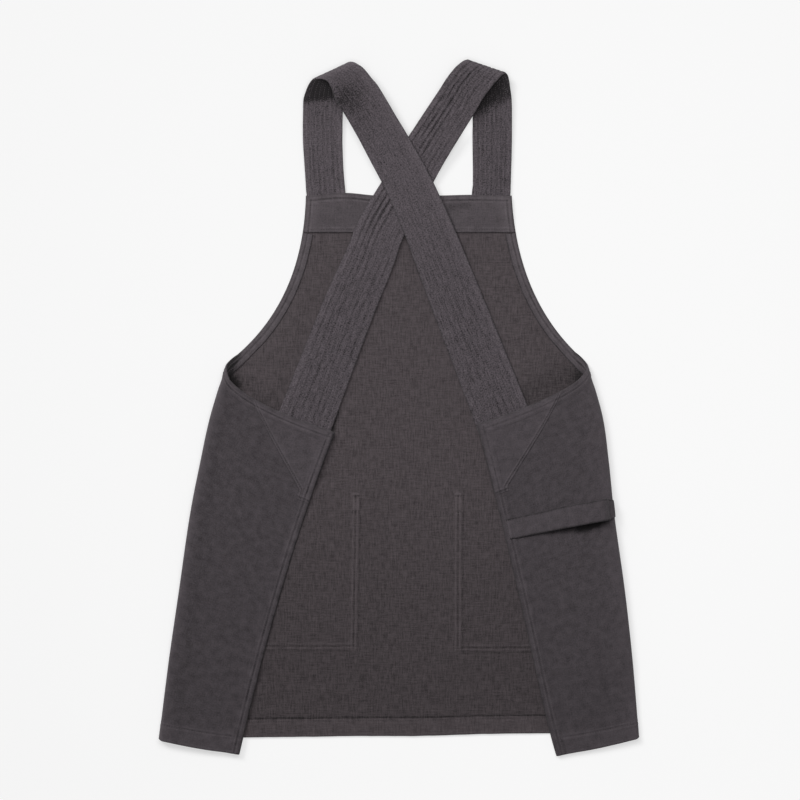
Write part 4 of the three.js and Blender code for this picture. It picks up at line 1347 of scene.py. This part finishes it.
def corner_patch(name, side):
    """The triangular patch on a flap's top corner, with the flap's edge stitching running over it."""
    shape, top = side.patch, PATCH["top"]
    along = np.linspace(shape["foot"], top, PATCH["rows"])[:, None]
    part = np.linspace(1, PATCH["inner"], PATCH["columns"])[None, :]
    part = part if side.sign > 0 else part[:, ::-1]
    along, part = np.broadcast_arrays(along, part)
    risen = np.maximum(along - shape["bend"], 0) / (top - shape["bend"])
    widest = mix(shape["foot_width"], shape["top"], risen)
    reach = part * widest
    distances = {"edge": side.from_edge(reach, along)}
    distances["top"] = (1 - along) * mix(side.edge.length, side.fold.length, reach)
    slanted = (1 - part) * widest * side.width(along) * PATCH["slant"]
    foot = (along - shape["foot"]) * side.edge.length
    flat = side.cloth(reach, along)
    turned, seam, pucker = flap_seams(side, flat[..., 0], flat[..., 1], distances)
    slant_seam = furrows(slanted, PATCH["slant_row"]) * (1 - band(distances["edge"], EDGE_TURN, EDGE_SOFT))
    foot_seam = furrows(foot, PATCH["foot_row"], width=PATCH["foot_furrow"])
    rim = smooth(np.minimum(slanted, foot), 0, PATCH_RIM["width"])
    thick = PATCH_LIFT["thick"] * mix(PATCH_RIM["thin"], 1, rim)
    points = lifted(side, reach, along, CANVAS / 2 + PATCH_LIFT["gap"] + thick / 2 + FLAP["turned"] * turned)
    swell_flap(points, reach)
    relief = seam + PATCH_RELIEF["slant"] * slant_seam + PATCH_RELIEF["foot"] * foot_seam
    above = thick / 2 + PATCH_RELIEF["pucker"] * pucker + FURROW_DEPTH * relief
    rub = PATCH_TONE_AND_SHADE["plain"] + PATCH_TONE_AND_SHADE["turned"] * turned + PATCH_TONE_AND_SHADE["pucker"] * pucker
    rub = rub + FURROW_SHADE * (seam + PATCH_TONE_AND_SHADE["slant"] * slant_seam + PATCH_TONE_AND_SHADE["foot"] * foot_seam)
    # painted shade along the patch's slanted edge
    rub = rub - PATCH_TONE_AND_SHADE["rim"] * hump(slanted, PATCH_RIM["shade"]) * (1 - turned)
    cloth, numbers = sheet(points, above, thick / 2, points[..., :2], rub)
    face = cloth.top[numbers]
    rows = np.arange(len(face))
    reaches = 1 - part[0]
    order = np.argsort(reaches)
    slant_line = []
    for row in rows[slice(*PATCH["sewn_rows"])]:
        share = PATCH["slant_row"] / PATCH["slant"] / (widest[row, 0] * side.width(along[row, 0]))
        slant_line.append(line_on(face, [row], [np.interp(share, reaches[order], order)])[0])
    foot_row = np.interp(PATCH["foot_row"], foot[:, 0], rows)
    seams = [np.array(slant_line), line_on(face, foot_row, np.arange(2, face.shape[1] - 2))]
    return cloth.mesh(name, OUTSIDE, OUTSIDE), cloth, seams


def tool_loop(name):
    """The band across the right flap: one end is caught under the flap's edge, the rest stands proud."""
    side, seam_at, last = SIDES["right"], LOOP["falling"][1], LOOP["rows"] - 1
    share = np.linspace(LOOP["start"], 1, LOOP["columns"])[None, :]
    part = np.linspace(-1, 1, LOOP["rows"])[:, None]
    share, part = np.broadcast_arrays(share, part)
    middle, half, proud = loop_course(share)
    along, reach = middle + part * half, share * LOOP["reach"]
    width = side.width(LOOP["edge"]) * LOOP["reach"]
    from_edge, from_fold = share * width, (seam_at - share) * width
    caught = band(from_edge, *LOOP["caught"])
    thick = LOOP_CLOTH * mix(1, LOOP["caught_thick"], caught)
    lift = CANVAS / 2 + FLAP_GAP + thick / 2 + LOOP["rise"] * proud + LOOP["sewn_lift"] * (1 - proud)
    points = lifted(side, reach, along, lift)
    swell_flap(points, reach)
    seam = furrows(from_edge, LOOP["row"]) + LOOP["fold_seam"] * furrows(from_fold, 0)
    corner = band(1 - np.abs(part), *LOOP["corner"]) * caught
    above = thick / 2 + LOOP["crown"] * (1 - part**4) * (1 - caught) + FURROW_DEPTH * seam
    rub = LOOP_TONE_AND_SHADE["plain"] + LOOP_TONE_AND_SHADE["caught"] * caught + FURROW_SHADE * seam
    # painted shade along the loop's edges; the corner term darkens the caught end's corners
    rub = rub - LOOP_TONE_AND_SHADE["corner"] * corner - LOOP_TONE_AND_SHADE["rim"] * hump(1 - np.abs(part), LOOP["rim"])
    uv = np.dstack([from_edge, part * LOOP["width"] / 2])
    cloth, numbers = sheet(points, above, thick / 2, uv, rub)
    face = cloth.top[numbers]
    sewn = number_of(np.array([seam_at * width, LOOP["row"]]), from_edge[0])
    seams = [line_on(face, np.arange(1, last), column) for column in sewn]
    tack_columns = np.linspace(*number_of(np.array(LOOP["tack"]), from_edge[0]), SEAM_POINTS["tack"])
    seams += [line_on(face, row, tack_columns) for row in (1, 2, last - 2, last - 1)]
    return cloth.mesh(name, OUTSIDE, OUTSIDE), cloth, seams


def pocket(name, side):
    """A patch pocket under the front, with a turned top and stitched edges on its outer face."""
    shape = side.pocket
    inner, outer, top, bottom = (shape[place] for place in ("inner", "outer", "top", "bottom"))
    part = np.linspace(1, 0, POCKET_GRID)[None, :]
    part = part if side.sign > 0 else part[:, ::-1]
    part, y = np.broadcast_arrays(part, np.linspace(bottom, top, POCKET_GRID)[:, None])
    low = part * (top - y) / (top - bottom)
    x = mix(inner, outer, part) + low * (outer - inner) * POCKET_LEAN
    from_side = np.minimum(np.abs(x - inner), (1 - part) * abs(outer - inner))
    from_top, from_low = top - y, y - bottom
    turned = band(from_top, POCKET_TURN)
    seam = furrows(np.minimum(from_side, from_low), *POCKET_ROWS) + furrows(from_top, POCKET_TOP_ROW)
    points = np.dstack([x, y, np.full(x.shape, POCKET_CLOTH / 2)])
    below = POCKET_CLOTH / 2 - POCKET_RELIEF["thin"] + POCKET_RELIEF["turned"] * turned
    below = below + POCKET_RELIEF["seam"] * np.minimum(seam, 0)
    rub = POCKET_RELIEF["light"] * turned + FURROW_SHADE * seam
    cloth, numbers = sheet(points, POCKET_CLOTH / 2, below, points[..., :2], 0.0, rub)
    face = cloth.bottom[numbers]
    columns = np.arange(face.shape[1])
    rows = np.arange(face.shape[0])
    seams = [line_on(face, number_of(top - POCKET_TOP_ROW, y[:, 0]), columns[2:-2])]
    step = abs(outer - inner) / columns[-1]
    for distance in POCKET_ROWS:
        seams.append(line_on(face, number_of(distance, from_low[:, 0]), columns[2:-2]))
        for column in (distance / step, columns[-1] - distance / step):
            seams.append(line_on(face, rows[2:-2], column))
    return cloth.mesh(name, OUTSIDE, OUTSIDE), cloth, seams


# Putting the pieces in place

def lay(made, stitches, nodes, pitch=STITCH["pitch"]):
    """Sews a cloth piece, sets it under the root and hides the model's parts that it stands for."""
    piece, cloth, seams = made
    sewn = stitching(stitches, seams, pitch)
    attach(piece, "root")
    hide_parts(*nodes)


def dress():
    """Makes every piece, one after the other."""
    panels = ["front_panel", "left_flap", "right_flap"]
    lay(body(), "body_stitching", panels)
    lay(top_facing(), "bib_facing_stitching", ["top_facing"])
    for name, side in SIDES.items():
        made, nodes = armhole_facing(name + "_armhole_strip", side), [name + "_armhole_facing"]
        stitches = name + "_armhole_stitching"
        lay(made, stitches, nodes, pitch=STITCH["fine"])
        made, nodes = strap(name + "_quilted_strap", name), [name + "_strap"]
        stitches = name + "_strap_quilting"
        lay(made, stitches, nodes, STITCH["fine"])
        made, nodes = corner_patch(name + "_corner_reinforcement", side), [name + "_corner_patch"]
        lay(made, name + "_patch_stitching", nodes)
        made, nodes = pocket(name + "_patch_pocket", side), [name + "_pocket"]
        lay(made, name + "_pocket_stitching", nodes)
    made, nodes = tool_loop("tool_loop_band"), ["tool_loop"]
    lay(made, "tool_loop_stitching", nodes, pitch=STITCH["finest"])


# The studio

def spot(tree, place, centre):
    """One at a place on the floor, and less further off. The third number is how far it reaches."""
    x, y, reach = centre
    away = node(tree, "ShaderNodeVectorMath", {0: place, 1: (x, y, 0.0)}, operation="SUBTRACT").outputs[0]
    away = node(tree, "ShaderNodeVectorMath", {0: away}, operation="LENGTH").outputs["Value"]
    spread = math_node(tree, "POWER", math_node(tree, "DIVIDE", away, reach), 2.0)
    return math_node(tree, "POWER", math_node(tree, "ADD", spread, 1.0), -2.0)


def floor():
    """A plain pale floor with an even glow under the lamps, and painted light on it in the neck window, which
    takes out the straps' shadow there.
    """
    mesh = bpy.data.meshes.new("floor")
    ends = ((-1, -1), (1, -1), (1, 1), (-1, 1))
    corners = [(FLOOR_HALF * x, FLOOR_HALF * y, FLOOR_LEVEL) for x, y in ends]
    mesh.from_pydata(corners, [], [(0, 1, 2, 3)])
    material, tree, shader = new_material("pale_floor", ROUGH["floor"])
    place = node(tree, "ShaderNodeTexCoord").outputs["Object"]
    pool = math_node(tree, "MULTIPLY", spot(tree, place, POOL["place"]), FLOOR_GLOW["under_pool"])
    # painted light on the floor in the neck window
    window_light = math_node(tree, "MULTIPLY", spot(tree, place, NECK_WINDOW_LIGHT), FLOOR_GLOW["painted_window_light"])
    glow = math_node(tree, "SUBTRACT", FLOOR_GLOW["far"], pool)
    glow = math_node(tree, "ADD", glow, window_light)
    aside = tuple(-FLOOR_GLOW["away_from_key"] * part for part in KEY["place"][:2]) + (0.0, )
    tilt = node(tree, "ShaderNodeVectorMath", {0: place, 1: aside}, operation="DOT_PRODUCT").outputs["Value"]
    tilt = node(tree, "ShaderNodeClamp", {"Value": tilt, "Min": -FLOOR_TILT, "Max": FLOOR_TILT}).outputs[0]
    glow = math_node(tree, "ADD", glow, tilt)
    tree.links.new(glow, shader.inputs["Emission Strength"])
    shader.inputs["Emission Color"].default_value = (1, 1, 1, 1)
    shader.inputs["Base Color"].default_value = (*FLOOR_COLOUR, 1)
    mesh.materials.append(material)
    put("floor", mesh)


def lamp(name, place, aim, size, power):
    """A square lamp that faces a place."""
    light = bpy.data.lights.new(name, "AREA")
    light.size, light.energy = size, power
    made = bpy.data.objects.new(name, light)
    made.location = place
    way = np.array(aim, float) - np.array(place, float)
    lean = math.acos(-way[2] / np.linalg.norm(way))
    made.rotation_euler = (lean, 0, math.atan2(way[1], way[0]) - math.pi / 2)
    bpy.context.scene.collection.objects.link(made)


def studio():
    """The floor, two lamps and a little light from all round."""
    floor()
    lamp("key_softbox", KEY["place"], (0, 0, 0), KEY["size"], KEY["power"])
    lamp("pool_softbox", POOL["place"], (*POOL["place"][:2], 0), POOL["size"], POOL["power"])
    world = bpy.data.worlds.new("studio_air")
    world.use_nodes = True
    world.node_tree.nodes["Background"].inputs["Color"].default_value = (1, 1, 1, 1)
    world.node_tree.nodes["Background"].inputs["Strength"].default_value = AIR
    bpy.context.scene.world = world
    bpy.context.scene.view_settings.view_transform = "Standard"


def camera():
    """The camera straight above, which takes in the whole picture."""
    lens = bpy.data.cameras.new("overhead_camera")
    lens.sensor_width = SENSOR
    lens.lens = SENSOR * CAMERA_HEIGHT / (PICTURE * PIXEL)
    lens.clip_end = FARTHEST
    made = bpy.data.objects.new("overhead_camera", lens)
    made.location = (CENTRE[0] * MM, CENTRE[1] * MM, CAMERA_HEIGHT * MM)
    bpy.context.scene.collection.objects.link(made)
    bpy.context.scene.camera = made


camera()
studio()
dress()
